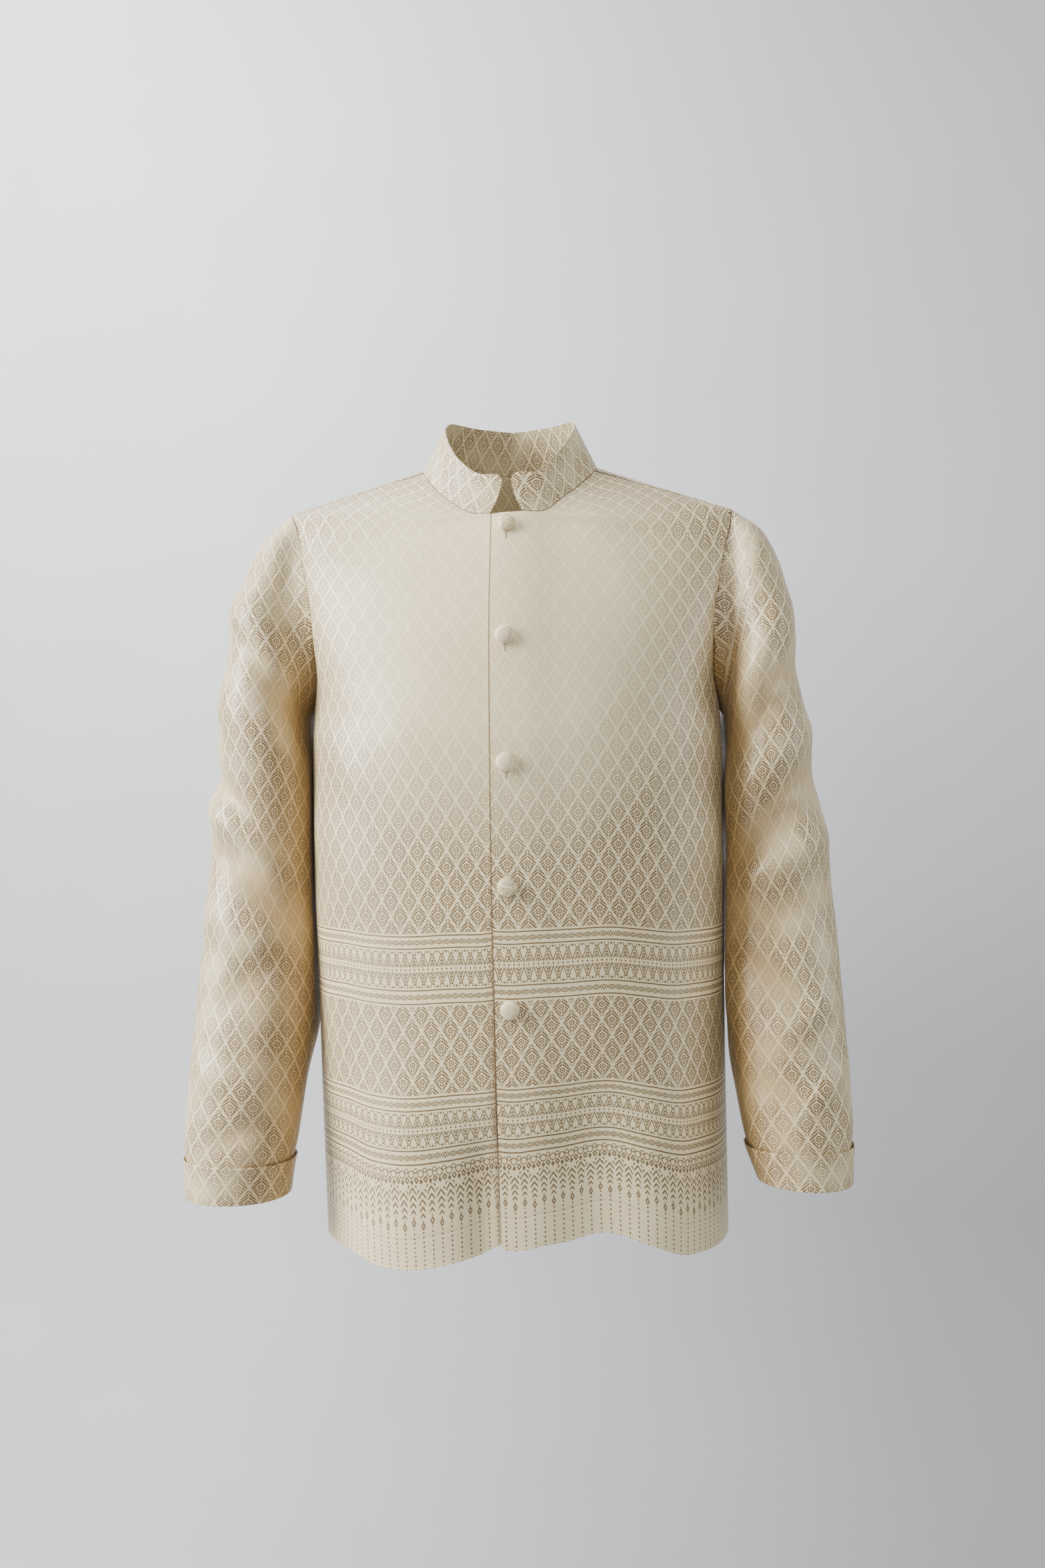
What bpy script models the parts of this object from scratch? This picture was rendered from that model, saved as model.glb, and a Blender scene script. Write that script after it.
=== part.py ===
"""Band-collar shirt in brocade as worn, open at the neck, its sleeves hanging at the sides."""

import math

import bmesh
import bpy
import numpy as np
from mathutils import Vector

for item in list(bpy.data.objects):
    bpy.data.objects.remove(item, do_unlink=True)

# Sizes in metres; tables are in millimetres.
MM = 0.001
WALL = 1.5 * MM
COLLAR_WALL = 2.0 * MM
SEAM_GAP = 0.3 * MM
LAP = 13.5 * MM
LAP_LIFT = WALL + 0.8 * MM
SLEEVE_CLEARANCE = 2.2 * MM
COLLAR_END = 15.5 * MM
COLLAR_CORNER = 10 * MM
COLLAR_SWEEP = 10 * MM
CUFF_STAND = 1.6 * MM
SLEEVE_TUCK = 18
TUCK_ENDS = -570
BUTTON_RADIUS = 8.9 * MM
BUTTON_DOME = 4.6 * MM
BUTTON_EDGE = 1.3 * MM
SHANK_RADIUS = 3.0 * MM
SHANK_HEIGHT = 1.2 * MM
BUTTON_HEIGHTS = (-71 * MM, -178 * MM, -290 * MM, -399 * MM, -507 * MM)

PANEL_COLUMNS = 10
ROWS_TO_UNDERARM = 10
ROWS_TO_NECK = 6
ROWS_TO_SHOULDER = 7
ROWS_TO_NAPE = 7
ROWS_TO_BACK_UNDERARM = 5
ROWS_TO_BACK_HEM = 10
SLEEVE_ROWS = 18
CUFF_ROWS = 2
COLLAR_ROWS = 4
BUTTON_SIDES = 14

# Body sections from the front hem up over the shoulder and down to the back hem:
# centre edge x, y, z, side edge x, y, z, squareness of the curve between them.
BODY = (
    # name               cx    cy    cz     sx    sy    sz    n
    ("front hem", 0, -139, -723, 195, 0, -741, 2.35),
    ("front low", 0, -142, -613, 196, 0, -631, 2.35),
    ("front hip", 0, -144, -493, 197, 0, -510, 2.35),
    ("front waist", 0, -146, -373, 199, 0, -388, 2.35),
    ("front chest", 0, -144, -268, 199, 0, -280, 2.35),
    ("front underarm", 0, -138, -214, 197, 0, -236, 2.35),
    ("armhole low", 0, -130, -170, 189, -40, -198, 2.2),
    ("armhole middle", 0, -117, -132, 190, -57, -158, 2.0),
    ("armhole high", 0, -99, -92, 196, -52, -118, 1.75),
    ("neck front", 0, -81, -58, 203, -38, -85, 1.55),
    ("neck low", 28, -77, -57.5, 208, -27, -66, 1.4),
    ("neck middle", 55, -60, -40, 212, -18, -52, 1.3),
    ("neck side", 75, -36, -19, 215, -11, -45, 1.2),
    ("shoulder seam", 84, -14, -5, 216, -7, -43, 1.08),
    ("shoulder ridge", 85, 6, 2, 216, 5, -41, 1.05),
    ("neck back side", 79, 29, 7, 214, 15, -45, 1.2),
    ("neck back", 60, 52, 9, 211, 27, -55, 1.4),
    ("neck back low", 32, 66, 9, 205, 42, -76, 1.6),
    ("nape", 0, 72, 8, 200, 54, -105, 1.8),
    ("back shoulder", 0, 100, -45, 196, 62, -140, 2.0),
    ("back armhole", 0, 121, -110, 190, 50, -188, 2.2),
    ("back underarm", 0, 131, -180, 197, 0, -236, 2.35),
    ("back chest", 0, 134, -250, 199, 0, -280, 2.35),
    ("back waist", 0, 131, -360, 199, 0, -388, 2.35),
    ("back hip", 0, 128, -490, 197, 0, -510, 2.35),
    ("back low", 0, 129, -615, 196, 0, -631, 2.35),
    ("back hem", 0, 131, -732, 195, 0, -741, 2.35),
)
FRONT_UNDERARM, NECK_FRONT, SHOULDER, NAPE, BACK_UNDERARM = 5, 9, 13, 18, 21

# Sideways lean of the body's centre line: height, shift.
LEAN = (
    (-760, 14),
    (-723, 13),
    (-580, 9),
    (-400, 5),
    (-250, 3),
    (-100, 0),
    (-60, -1),
    (-40, -5),
    (0, -4),
    (60, -6),
)

# Rise of the cloth by share of the half width, at the hem and at band height: share, hem, band.
RISE_LEFT = (
    (0.0, 0, 0),
    (0.2, 10, 6),
    (0.44, 22, 13),
    (0.6, 14, 13),
    (0.77, 3, 12),
    (0.9, 3, 11),
    (1.0, 6, 10),
)
RISE_RIGHT = (
    (0.0, 3, 0),
    (0.15, -3, 0),
    (0.3, -8, -1),
    (0.5, -13, -2),
    (0.65, -11, -2),
    (0.8, -3, -1),
    (1.0, 0, 0),
)
RISE_HEM, RISE_BAND, RISE_TOP = -723 * MM, -440 * MM, -250 * MM

# Soft folds of the body: from x, z to x, z, half width, height (a trough is negative).
FOLDS_FRONT_LEFT = (
    (84, -760, 78, -560, 34, -8),
    (150, -760, 140, -540, 34, 9),
)
FOLDS_FRONT_RIGHT = (
    (-4, -760, -6, -600, 34, -9),
    (-95, -760, -88, -540, 42, 8),
    (-165, -760, -160, -600, 24, -4),
)
FOLDS_BACK = (
    (-60, -760, -52, -420, 40, 7),
    (0, -760, 4, -380, 34, -6),
    (75, -760, 60, -440, 40, 8),
    (150, -760, 146, -560, 30, -5),
    (-150, -760, -150, -600, 30, -5),
)

# Collar by share of the way from a front end to the nape: share, rise, inward lean.
COLLAR = (
    (0.0, 39, 11),
    (0.15, 40, 13),
    (0.3, 41, 17),
    (0.45, 43, 21),
    (0.6, 44, 23),
    (0.8, 43, 17),
    (1.0, 42, 13),
)

# Sleeve sections below the armhole: outer x, z, inner x, z, middle y, depth, squareness.
SLEEVE_LEFT = (
    (239, -61, 203, -243, 2, 134, 2.0),
    (259, -100, 203, -254, 0, 146, 2.0),
    (272, -165, 202, -272, -2, 150, 2.1),
    (280, -240, 198, -318, -2, 146, 2.2),
    (291, -300, 197, -372, -4, 138, 2.2),
    (304, -385, 197, -435, -12, 132, 2.2),
    (311, -480, 199, -500, -28, 124, 2.2),
    (316, -560, 208, -558, -44, 116, 2.1),
    (319, -625, 218, -628, -56, 106, 2.1),
    (317, -646, 223, -646, -59, 99, 2.1),
    (317, -675, 232, -673, -62, 95, 2.1),
)
SLEEVE_RIGHT = (
    (-246, -66, -197, -243, 2, 134, 2.0),
    (-266, -106, -197, -254, 0, 146, 2.0),
    (-281, -180, -196, -272, -2, 150, 2.1),
    (-291, -265, -188, -322, -2, 146, 2.2),
    (-296, -345, -187, -384, -4, 138, 2.2),
    (-300, -430, -187, -450, -14, 132, 2.2),
    (-305, -520, -189, -525, -32, 124, 2.2),
    (-309, -595, -197, -592, -46, 116, 2.1),
    (-310, -650, -204, -650, -57, 107, 2.1),
    (-307, -670, -208, -670, -60, 100, 2.1),
    (-307, -698, -210, -696, -62, 97, 2.1),
)

# Sleeve folds seen from the front: from x, z to x, z, half width, height.
SLEEVE_FOLDS_LEFT = (
    (284, -316, 222, -392, 15, -8),
    (300, -372, 214, -345, 17, 6),
    (262, -150, 214, -250, 16, -6),
)
SLEEVE_FOLDS_RIGHT = (
    (-292, -296, -220, -352, 15, -9),
    (-292, -262, -212, -300, 17, 6),
    (-262, -150, -205, -235, 16, 6),
)


def spline(knots, values, t, corners=None):
    """Smooth curve through rows of values that never swings past them, with chosen values turning sharply."""
    knots = np.asarray(knots, float)
    values = np.asarray(values, float)
    t = np.clip(np.asarray(t, float), knots[0], knots[-1])
    spans = np.diff(knots).reshape((-1,) + (1,) * (values.ndim - 1))
    rates = np.diff(values, axis=0) / spans
    before = np.concatenate([rates[:1], rates])
    after = np.concatenate([rates, rates[-1:]])
    same_way = before * after > 0
    slopes = np.where(same_way, 2 * before * after / np.where(same_way, before + after, 1), 0)
    arriving = slopes if corners is None else np.where(corners, before, slopes)
    leaving = slopes if corners is None else np.where(corners, after, slopes)
    k = np.clip(np.searchsorted(knots, t, side="right") - 1, 0, len(knots) - 2)
    shape = t.shape + (1,) * (values.ndim - 1)
    step = (knots[k + 1] - knots[k]).reshape(shape)
    w = ((t - knots[k]).reshape(shape)) / step
    low = (2 * w**3 - 3 * w**2 + 1) * values[k]
    high = (3 * w**2 - 2 * w**3) * values[k + 1]
    return (
        low
        + high
        + (w**3 - 2 * w**2 + w) * step * leaving[k]
        + (w**3 - w**2) * step * arriving[k + 1]
    )


def unit(vectors):
    return vectors / np.maximum(np.linalg.norm(vectors, axis=-1, keepdims=True), 1e-12)


def smooth(value, low, high):
    w = np.clip((value - low) / (high - low), 0, 1)
    return w * w * (3 - 2 * w)


def lean(z):
    table = np.array(LEAN, float) * MM
    return np.interp(z, table[:, 0], table[:, 1])


BODY_SIZES = np.array([row[1:] for row in BODY], float)
BODY_SIZES[:, :6] *= MM
MIDDLES = (BODY_SIZES[:, :3] + BODY_SIZES[:, 3:6]) / 2
STEPS = np.linalg.norm(np.diff(MIDDLES, axis=0), axis=1)
BODY_KNOTS = np.concatenate([[0], np.cumsum(STEPS)])
BODY_CORNERS = np.zeros(BODY_SIZES.shape, bool)
BODY_CORNERS[[NECK_FRONT, NAPE], :3] = True


def section(t):
    """Sizes of the body section at a place along the table."""
    return spline(BODY_KNOTS, BODY_SIZES, t, BODY_CORNERS)


def rise(side, share, z, front):
    """Vertical shift of the cloth at the hem and the bands."""
    table = np.array(RISE_LEFT if side > 0 else RISE_RIGHT, float)
    hem = spline(table[:, 0], table[:, 1], share) * MM
    band = spline(table[:, 0], table[:, 2], share) * MM
    side_hem = table[-1, 1] * MM * share**3
    side_band = table[-1, 2] * MM * share**3
    hem = np.where(front, hem, side_hem)
    band = np.where(front, band, side_band)
    low = smooth(z, RISE_HEM, RISE_BAND)
    return (hem * (1 - low) + band * low) * (1 - smooth(z, RISE_BAND, RISE_TOP))


def fold_height(table, x, z):
    """Height of the soft folds at points seen from the front or the back."""
    total = np.zeros(np.broadcast(x, z).shape)
    for x0, z0, x1, z1, width, height in table:
        ax, az, bx, bz = x0 * MM, z0 * MM, x1 * MM, z1 * MM
        length = math.hypot(bx - ax, bz - az)
        ux, uz = (bx - ax) / length, (bz - az) / length
        along = ((x - ax) * ux + (z - az) * uz) / length
        off = (x - ax) * uz - (z - az) * ux
        fade = smooth(along, -0.12, 0.25) * (1 - smooth(along, 0.6, 1.15))
        total = total + height * MM * np.exp(-((off / (width * MM)) ** 2)) * fade
    return total


def body_base(side, across, t):
    """Body cloth before its folds: across from 0 at the centre to 1 at the side, t along the sections."""
    row = section(t)
    cx, cy, cz, sx, sy, sz, n = np.moveaxis(row, -1, 0)
    share = np.minimum(np.abs(across), 1)
    bulge = 1 - (1 - share**n) ** (1 / n)
    x = (cx + (sx - cx) * share) * np.where(across < 0, -1, 1)
    y = cy + (sy - cy) * bulge
    z = cz + (sz - cz) * share
    z = z + rise(side, share, z, t <= BODY_KNOTS[SHOULDER])
    return np.stack([side * x + lean(z), y, z], axis=-1)


def normal_of(surface, a, b, flip):
    """Outward direction of a surface at its parameters, from small steps to either side."""
    da, db = 2e-3, 1e-3
    far = np.minimum(a + da, 1)
    near = np.where(a < 0, far - 2 * da, np.maximum(far - 2 * da, 0))
    along = surface(far, b) - surface(near, b)
    up = surface(a, b + db) - surface(a, b - db)
    return unit(np.cross(along, up)) * flip


def body(side, across, t):
    """Body cloth with its folds."""
    across, t = np.broadcast_arrays(np.asarray(across, float), np.asarray(t, float))
    base = body_base(side, across, t)
    outward = normal_of(lambda a, b: body_base(side, a, b), across, t, side)
    front = t <= BODY_KNOTS[SHOULDER]
    folds_front = FOLDS_FRONT_LEFT if side > 0 else FOLDS_FRONT_RIGHT
    shift_front = fold_height(folds_front, base[..., 0], base[..., 2])
    shift_back = fold_height(FOLDS_BACK, base[..., 0], base[..., 2])
    edge = 1 - smooth(np.abs(across), 0.93, 1)
    shift = np.where(front, shift_front, shift_back) * edge
    return base + outward * shift[..., None]


def body_normal(side, across, t):
    return normal_of(lambda a, b: body(side, a, b), across, t, side)


def lap_lift(side, points):
    """The left front lies over the right one near the centre line."""
    if side < 0:
        return np.zeros(points.shape[:-1])
    off = points[..., 0] - lean(points[..., 2])
    return LAP_LIFT * (1 - smooth(off, LAP + 3 * MM, 50 * MM))


def shares(count):
    """Shares across a panel: the centre, a line just past the lap, then closer toward the side."""
    start = (LAP + 4 * MM) / (200 * MM)
    first = math.asin(start ** (2.35 / 2))
    angle = np.linspace(first, math.pi / 2, count)
    return np.concatenate([[0], np.sin(angle) ** (2 / 2.35)])


def places(*spans):
    """Rows between body sections: the first section, then pairs of a section and the rows up to it."""
    values = [np.array([BODY_KNOTS[spans[0]]])]
    last = spans[0]
    for section, count in spans[1:]:
        values.append(np.linspace(BODY_KNOTS[last], BODY_KNOTS[section], count + 1)[1:])
        last = section
    return np.concatenate(values)


NECK_EDGE = BODY_KNOTS[NECK_FRONT]
FRONT_PLACES = places(
    0, (FRONT_UNDERARM, ROWS_TO_UNDERARM), (NECK_FRONT, ROWS_TO_NECK), (SHOULDER, ROWS_TO_SHOULDER)
)
FIRST_NECK_ROW = ROWS_TO_UNDERARM + ROWS_TO_NECK + 1
NECK_STEPS = np.linspace(NECK_EDGE, BODY_KNOTS[NECK_FRONT + 1], 50)
NECK_WIDTHS = section(NECK_STEPS)[:, 0]
COLLAR_START = np.interp(COLLAR_END, NECK_WIDTHS, NECK_STEPS)
FRONT_PLACES[FIRST_NECK_ROW:] = np.linspace(COLLAR_START, BODY_KNOTS[SHOULDER], ROWS_TO_SHOULDER)
BACK_PLACES = places(
    SHOULDER,
    (NAPE, ROWS_TO_NAPE),
    (BACK_UNDERARM, ROWS_TO_BACK_UNDERARM),
    (len(BODY) - 1, ROWS_TO_BACK_HEM),
)
AROUND = ROWS_TO_NECK + ROWS_TO_SHOULDER + ROWS_TO_NAPE + ROWS_TO_BACK_UNDERARM
ARMHOLE_SHARES = np.arange(AROUND + 1) / AROUND
ARMHOLE_BACK = BACK_PLACES[1 : ROWS_TO_NAPE + ROWS_TO_BACK_UNDERARM + 1]
ARMHOLE_PLACES = np.concatenate([FRONT_PLACES[ROWS_TO_UNDERARM:], ARMHOLE_BACK])


def armhole(side, around):
    """Edge of the body cloth at the armhole, from the underarm up the front and down the back."""
    t = np.interp(around, ARMHOLE_SHARES, ARMHOLE_PLACES)
    return body(side, np.ones(t.shape), t)


def keep_clear(side, points):
    """Moves sleeve points out of the body they hang beside."""
    x, y, z = np.moveaxis(points, -1, 0)
    rows = BODY_SIZES[: FRONT_UNDERARM + 1]
    back = BODY_SIZES[BACK_UNDERARM:][::-1]
    half = np.interp(z, rows[:, 5], rows[:, 3]) + SLEEVE_CLEARANCE
    front_depth = np.interp(z, rows[:, 2], -rows[:, 1])
    back_depth = np.interp(z, back[:, 2], back[:, 1])
    depth = np.where(y < 0, front_depth, back_depth) + SLEEVE_CLEARANCE
    limit = half * (1 - np.minimum(np.abs(y) / depth, 1) ** 2.35) ** (1 / 2.35)
    out = side * (x - lean(z))
    round_off = 3 * MM
    pushed = (out + limit + np.sqrt((out - limit) ** 2 + round_off**2)) / 2
    below = 1 - smooth(z, rows[-1, 5] - 6 * MM, rows[-1, 5] - 2 * MM)
    out = out + (pushed - out) * below
    return np.stack([side * out + lean(z), y, z], axis=-1)


def sleeve_base(side, around, t):
    """One ring of a sleeve before its folds, t from 0 at the armhole to 1 at the cuff edge."""
    angle = math.pi - 2 * math.pi * around
    rings = [armhole(side, around % 1.0)]
    for ox, oz, ix, iz, my, depth, n in SLEEVE_LEFT if side > 0 else SLEEVE_RIGHT:
        c, s = np.cos(angle), np.sin(angle)
        u = np.sign(c) * np.abs(c) ** (2 / n)
        v = np.sign(s) * np.abs(s) ** (2 / n)
        share = 0 if oz > -90 or oz < TUCK_ENDS else 0.5 if n < 2.05 else 1
        tucked = np.maximum(-u, 0) * np.maximum(-v, 0) * share
        x = (ox + ix) / 2 + (ox - ix) / 2 * u - side * SLEEVE_TUCK * tucked
        z = (oz + iz) / 2 + (oz - iz) / 2 * u
        y = my - depth / 2 * v
        rings.append(np.stack([x, y, z], axis=-1) * MM)
    rings = np.array(rings)
    steps = np.linalg.norm(np.diff(rings, axis=0), axis=-1).mean(axis=-1)
    knots = np.concatenate([[0], np.cumsum(steps)])
    ring = spline(knots / knots[-1], rings, np.float64(t))
    return keep_clear(side, ring) if t > 0 else ring


def ring_normal(ring, side, around, t):
    """Outward direction of a sleeve ring, from rings and points to either side."""
    da, dt = 2e-3, 4e-3
    along = ring(side, around + da, t) - ring(side, around - da, t)
    down = ring(side, around, min(t + dt, 1)) - ring(side, around, max(t - dt, 0))
    return unit(np.cross(down, along)) * side


def sleeve(side, around, t):
    base = sleeve_base(side, around, t)
    outward = ring_normal(sleeve_base, side, around, t)
    folds = SLEEVE_FOLDS_LEFT if side > 0 else SLEEVE_FOLDS_RIGHT
    facing = smooth(-outward[:, 1], -0.35, 0.35)
    height = fold_height(folds, base[:, 0], base[:, 2]) * facing * smooth(np.float64(t), 0, 0.12)
    return base + outward * height[:, None]


def meet(own, other, away):
    """Direction of a seam's cut face where two cloths meet over a ridge."""
    over = np.clip(np.sum(other * away, axis=-1), 0, 0.95)
    half = np.tan(np.arcsin(over) / 2)
    direction = unit(own + away * half[:, None])
    return direction / np.sum(direction * own, axis=-1)[:, None]


def armhole_meeting(side):
    """Cut face directions at the armhole, for the body and for the sleeve."""
    around = np.arange(AROUND) / AROUND
    t = np.interp(around, ARMHOLE_SHARES, ARMHOLE_PLACES)
    full = np.ones(t.shape)
    body_out = body_normal(side, full, t)
    away_body = unit(body(side, full, t) - body(side, full - 0.004, t))
    sleeve_out = ring_normal(sleeve_base, side, around, 0.0)
    away_sleeve = unit(sleeve_base(side, around, 0.0) - sleeve_base(side, around, 0.01))
    return meet(body_out, sleeve_out, away_body), meet(sleeve_out, body_out, away_sleeve)


def front_grid(side):
    """Points and directions of one front, its centre edge past the centre line up to the neck."""
    across = shares(PANEL_COLUMNS)
    grid, directions = [], []
    for t in FRONT_PLACES:
        past = LAP / section(t)[3] if t <= NECK_EDGE + 1e-9 else 0.0
        row = across.copy()
        row[0] = -past
        level = np.full(row.shape, t)
        points = body(side, row, level)
        outward = body_normal(side, row, level)
        grid.append(points + outward * lap_lift(side, points)[:, None])
        directions.append(outward)
    directions = np.array(directions)
    edge = armhole_meeting(side)[0]
    count = ROWS_TO_NECK + ROWS_TO_SHOULDER
    directions[ROWS_TO_UNDERARM + 1 :, -1] = edge[1 : count + 1]
    return np.array(grid), directions


def back_grid():
    """Points and directions of the back from the right side to the left, its centre line taken twice."""
    across = shares(PANEL_COLUMNS)
    grid, directions = [], []
    for t in BACK_PLACES:
        level = np.full(across.shape, t)
        right, left = body(-1, across, level), body(1, across, level)
        right_out, left_out = body_normal(-1, across, level), body_normal(1, across, level)
        if t >= BODY_KNOTS[NAPE] - 1e-9:
            middle = unit(right_out[0] + left_out[0])
            right_out[0], left_out[0] = middle, middle
        grid.append(np.concatenate([right[::-1], left]))
        directions.append(np.concatenate([right_out[::-1], left_out]))
    directions = np.array(directions)
    first = ROWS_TO_NECK + ROWS_TO_SHOULDER
    for side, column in ((-1, 0), (1, -1)):
        edge = armhole_meeting(side)[0]
        directions[: AROUND - first, column] = edge[first:]
    return np.array(grid), directions


def mesh_object(name, points, faces, collection, material):
    data = bpy.data.meshes.new(name)
    data.from_pydata([tuple(p) for p in points], [], faces)
    data.materials.append(material)
    work = bmesh.new()
    work.from_mesh(data)
    unused = [corner for corner in work.verts if not corner.link_faces]
    bmesh.ops.delete(work, geom=unused, context="VERTS")
    bmesh.ops.recalc_face_normals(work, faces=work.faces)
    work.to_mesh(data)
    work.free()
    for polygon in data.polygons:
        polygon.use_smooth = True
    item = bpy.data.objects.new(name, data)
    collection.objects.link(item)
    return item


def shell(name, outer, inner, collection, material, closed=False, slit=None):
    """Cloth wall between an outer and an inner grid, walled round every free edge.

    A closed wall joins its last column to its first.
    A slit is a column left open down to a row and joined below it.
    """
    rows, columns = outer.shape[:2]
    index = np.arange(rows * columns).reshape(rows, columns)
    if slit:
        column, open_rows = slit
        index[open_rows:, column + 1] = index[open_rows:, column]
    second = rows * columns
    faces = []
    edges = {}
    for i in range(rows - 1):
        for j in range(columns if closed else columns - 1):
            if slit and j == slit[0]:
                continue
            k = (j + 1) % columns
            quad = (index[i, j], index[i, k], index[i + 1, k], index[i + 1, j])
            quad = tuple(int(corner) for corner in quad)
            faces.append(quad)
            faces.append(tuple(second + corner for corner in reversed(quad)))
            for a, b in zip(quad, quad[1:] + quad[:1]):
                edges[a, b] = True
    for a, b in list(edges):
        if (b, a) not in edges:
            faces.append((b, a, second + a, second + b))
    points = np.concatenate([outer.reshape(-1, 3), inner.reshape(-1, 3)])
    return mesh_object(name, points, faces, collection, material)


def away_from(seam, beside):
    """Directions straight back from a seam line into its own cloth."""
    along = unit(np.gradient(seam, axis=0))
    back = beside - seam
    return unit(back - along * np.sum(back * along, axis=-1)[:, None])


def draw_back(grid, distance, first_row=False, last_row=False, first_column=False, last_column=False):
    """Draws the chosen edges of a grid back from their seams."""
    moved = grid.copy()
    if first_row:
        moved[0] += away_from(grid[0], grid[1]) * distance
    if last_row:
        moved[-1] += away_from(grid[-1], grid[-2]) * distance
    if first_column:
        moved[:, 0] += away_from(grid[:, 0], grid[:, 1]) * distance
    if last_column:
        moved[:, -1] += away_from(grid[:, -1], grid[:, -2]) * distance
    return moved


def front_panel(name, side, collection, material):
    grid, directions = front_grid(side)
    outer = draw_back(grid, SEAM_GAP / 2, last_row=True, last_column=True)
    return shell(name, outer, outer - directions * WALL, collection, material)


def back_panel(name, collection, material):
    """Back cut whole, its neckline open between its two halves down to the nape."""
    grid, directions = back_grid()
    half = PANEL_COLUMNS + 1
    seam = np.concatenate([away_from(part[0], part[1]) for part in (grid[:, :half], grid[:, half:])], axis=0)
    outer = draw_back(grid, SEAM_GAP / 2, first_column=True, last_column=True)
    outer[0] += seam * SEAM_GAP / 2
    return shell(
        name, outer, outer - directions * WALL, collection, material, slit=(PANEL_COLUMNS, ROWS_TO_NAPE)
    )


def sleeve_rings():
    """Places of the rings along a sleeve, the last ones shared with its cuff."""
    cuff_start = 0.942
    upper = np.linspace(0, 1, SLEEVE_ROWS - CUFF_ROWS + 1) ** 0.95 * cuff_start
    return np.concatenate([upper, np.linspace(cuff_start, 1, CUFF_ROWS + 1)[1:]])


def sleeve_grid(side):
    around = np.arange(AROUND) / AROUND
    grid = np.array([sleeve(side, around, t) for t in sleeve_rings()])
    directions = np.array([ring_normal(sleeve, side, around, t) for t in sleeve_rings()])
    return grid, directions


def sleeve_tube(name, side, collection, material):
    grid, directions = sleeve_grid(side)
    directions[0] = armhole_meeting(side)[1]
    outer = draw_back(grid, SEAM_GAP / 2, first_row=True)
    outer = draw_back(outer, 0.8 * MM, last_row=True)
    return shell(name, outer, outer - directions * WALL, collection, material, closed=True)


def cuff_tube(name, side, collection, material):
    """Cuff turned up over the sleeve end, its free upper edge standing away a little."""
    grid, directions = sleeve_grid(side)
    grid, directions = grid[-CUFF_ROWS - 1 :], directions[-CUFF_ROWS - 1 :]
    stand = np.linspace(CUFF_STAND, 0, CUFF_ROWS + 1)[:, None, None] + SEAM_GAP
    inner = grid + directions * stand
    return shell(name, inner + directions * WALL, inner, collection, material, closed=True)


def collar_base():
    """Neckline from the left front end round the back to the right one, with close steps at the ends."""
    rows = np.concatenate([FRONT_PLACES[FIRST_NECK_ROW:], BACK_PLACES[1 : ROWS_TO_NAPE + 1]])
    edge = []
    for side in (1, -1):
        points = body(side, np.zeros(rows.shape), rows)
        outward = body_normal(side, np.zeros(rows.shape) + 0.01, rows)
        points = points + outward * lap_lift(side, points)[:, None]
        close = [points[0] + (points[1] - points[0]) * share for share in (0.2, 0.45, 0.75)]
        edge.append(np.concatenate([points[:1], close, points[1:]]))
    return np.concatenate([edge[0], edge[1][:-1][::-1]])


def collar_band(name, collection, material):
    base = collar_base()
    steps = np.linalg.norm(np.diff(base, axis=0), axis=1)
    along = np.concatenate([[0], np.cumsum(steps)])
    to_end = np.minimum(along, along[-1] - along)
    table = np.array(COLLAR, float)
    share = to_end / (along[-1] / 2)
    height = spline(table[:, 0], table[:, 1] * MM, share)
    tilt = spline(table[:, 0], table[:, 2] * MM, share)
    corner = np.maximum(COLLAR_CORNER - to_end, 0)
    drop = COLLAR_CORNER - np.sqrt(COLLAR_CORNER**2 - corner**2)
    inward = np.array([-6 * MM, -4 * MM, 0]) - base
    inward[:, 2] = 0
    inward = unit(inward)
    toward_end = np.gradient(base, axis=0) * np.where(along < along[-1] / 2, -1, 1)[:, None]
    toward_end = unit(toward_end) * (COLLAR_SWEEP * (1 - smooth(to_end, 0, 35 * MM)))[:, None]
    grid = []
    for row in range(COLLAR_ROWS + 1):
        level = row / COLLAR_ROWS * (height - drop) / height
        points = base + inward * (tilt * level)[:, None] + toward_end * (level * (2 - level))[:, None]
        points[:, 2] += height * level + SEAM_GAP
        grid.append(points)
    grid = np.array(grid)
    directions = unit(np.cross(np.gradient(grid, axis=0), np.gradient(grid, axis=1)))
    return shell(name, grid, grid - directions * COLLAR_WALL, collection, material)


def material_of(name, colour, roughness):
    material = bpy.data.materials.new(name)
    material.use_nodes = True
    shader = material.node_tree.nodes["Principled BSDF"]
    shader.inputs["Base Color"].default_value = (*colour, 1)
    shader.inputs["Roughness"].default_value = roughness
    return material


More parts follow.
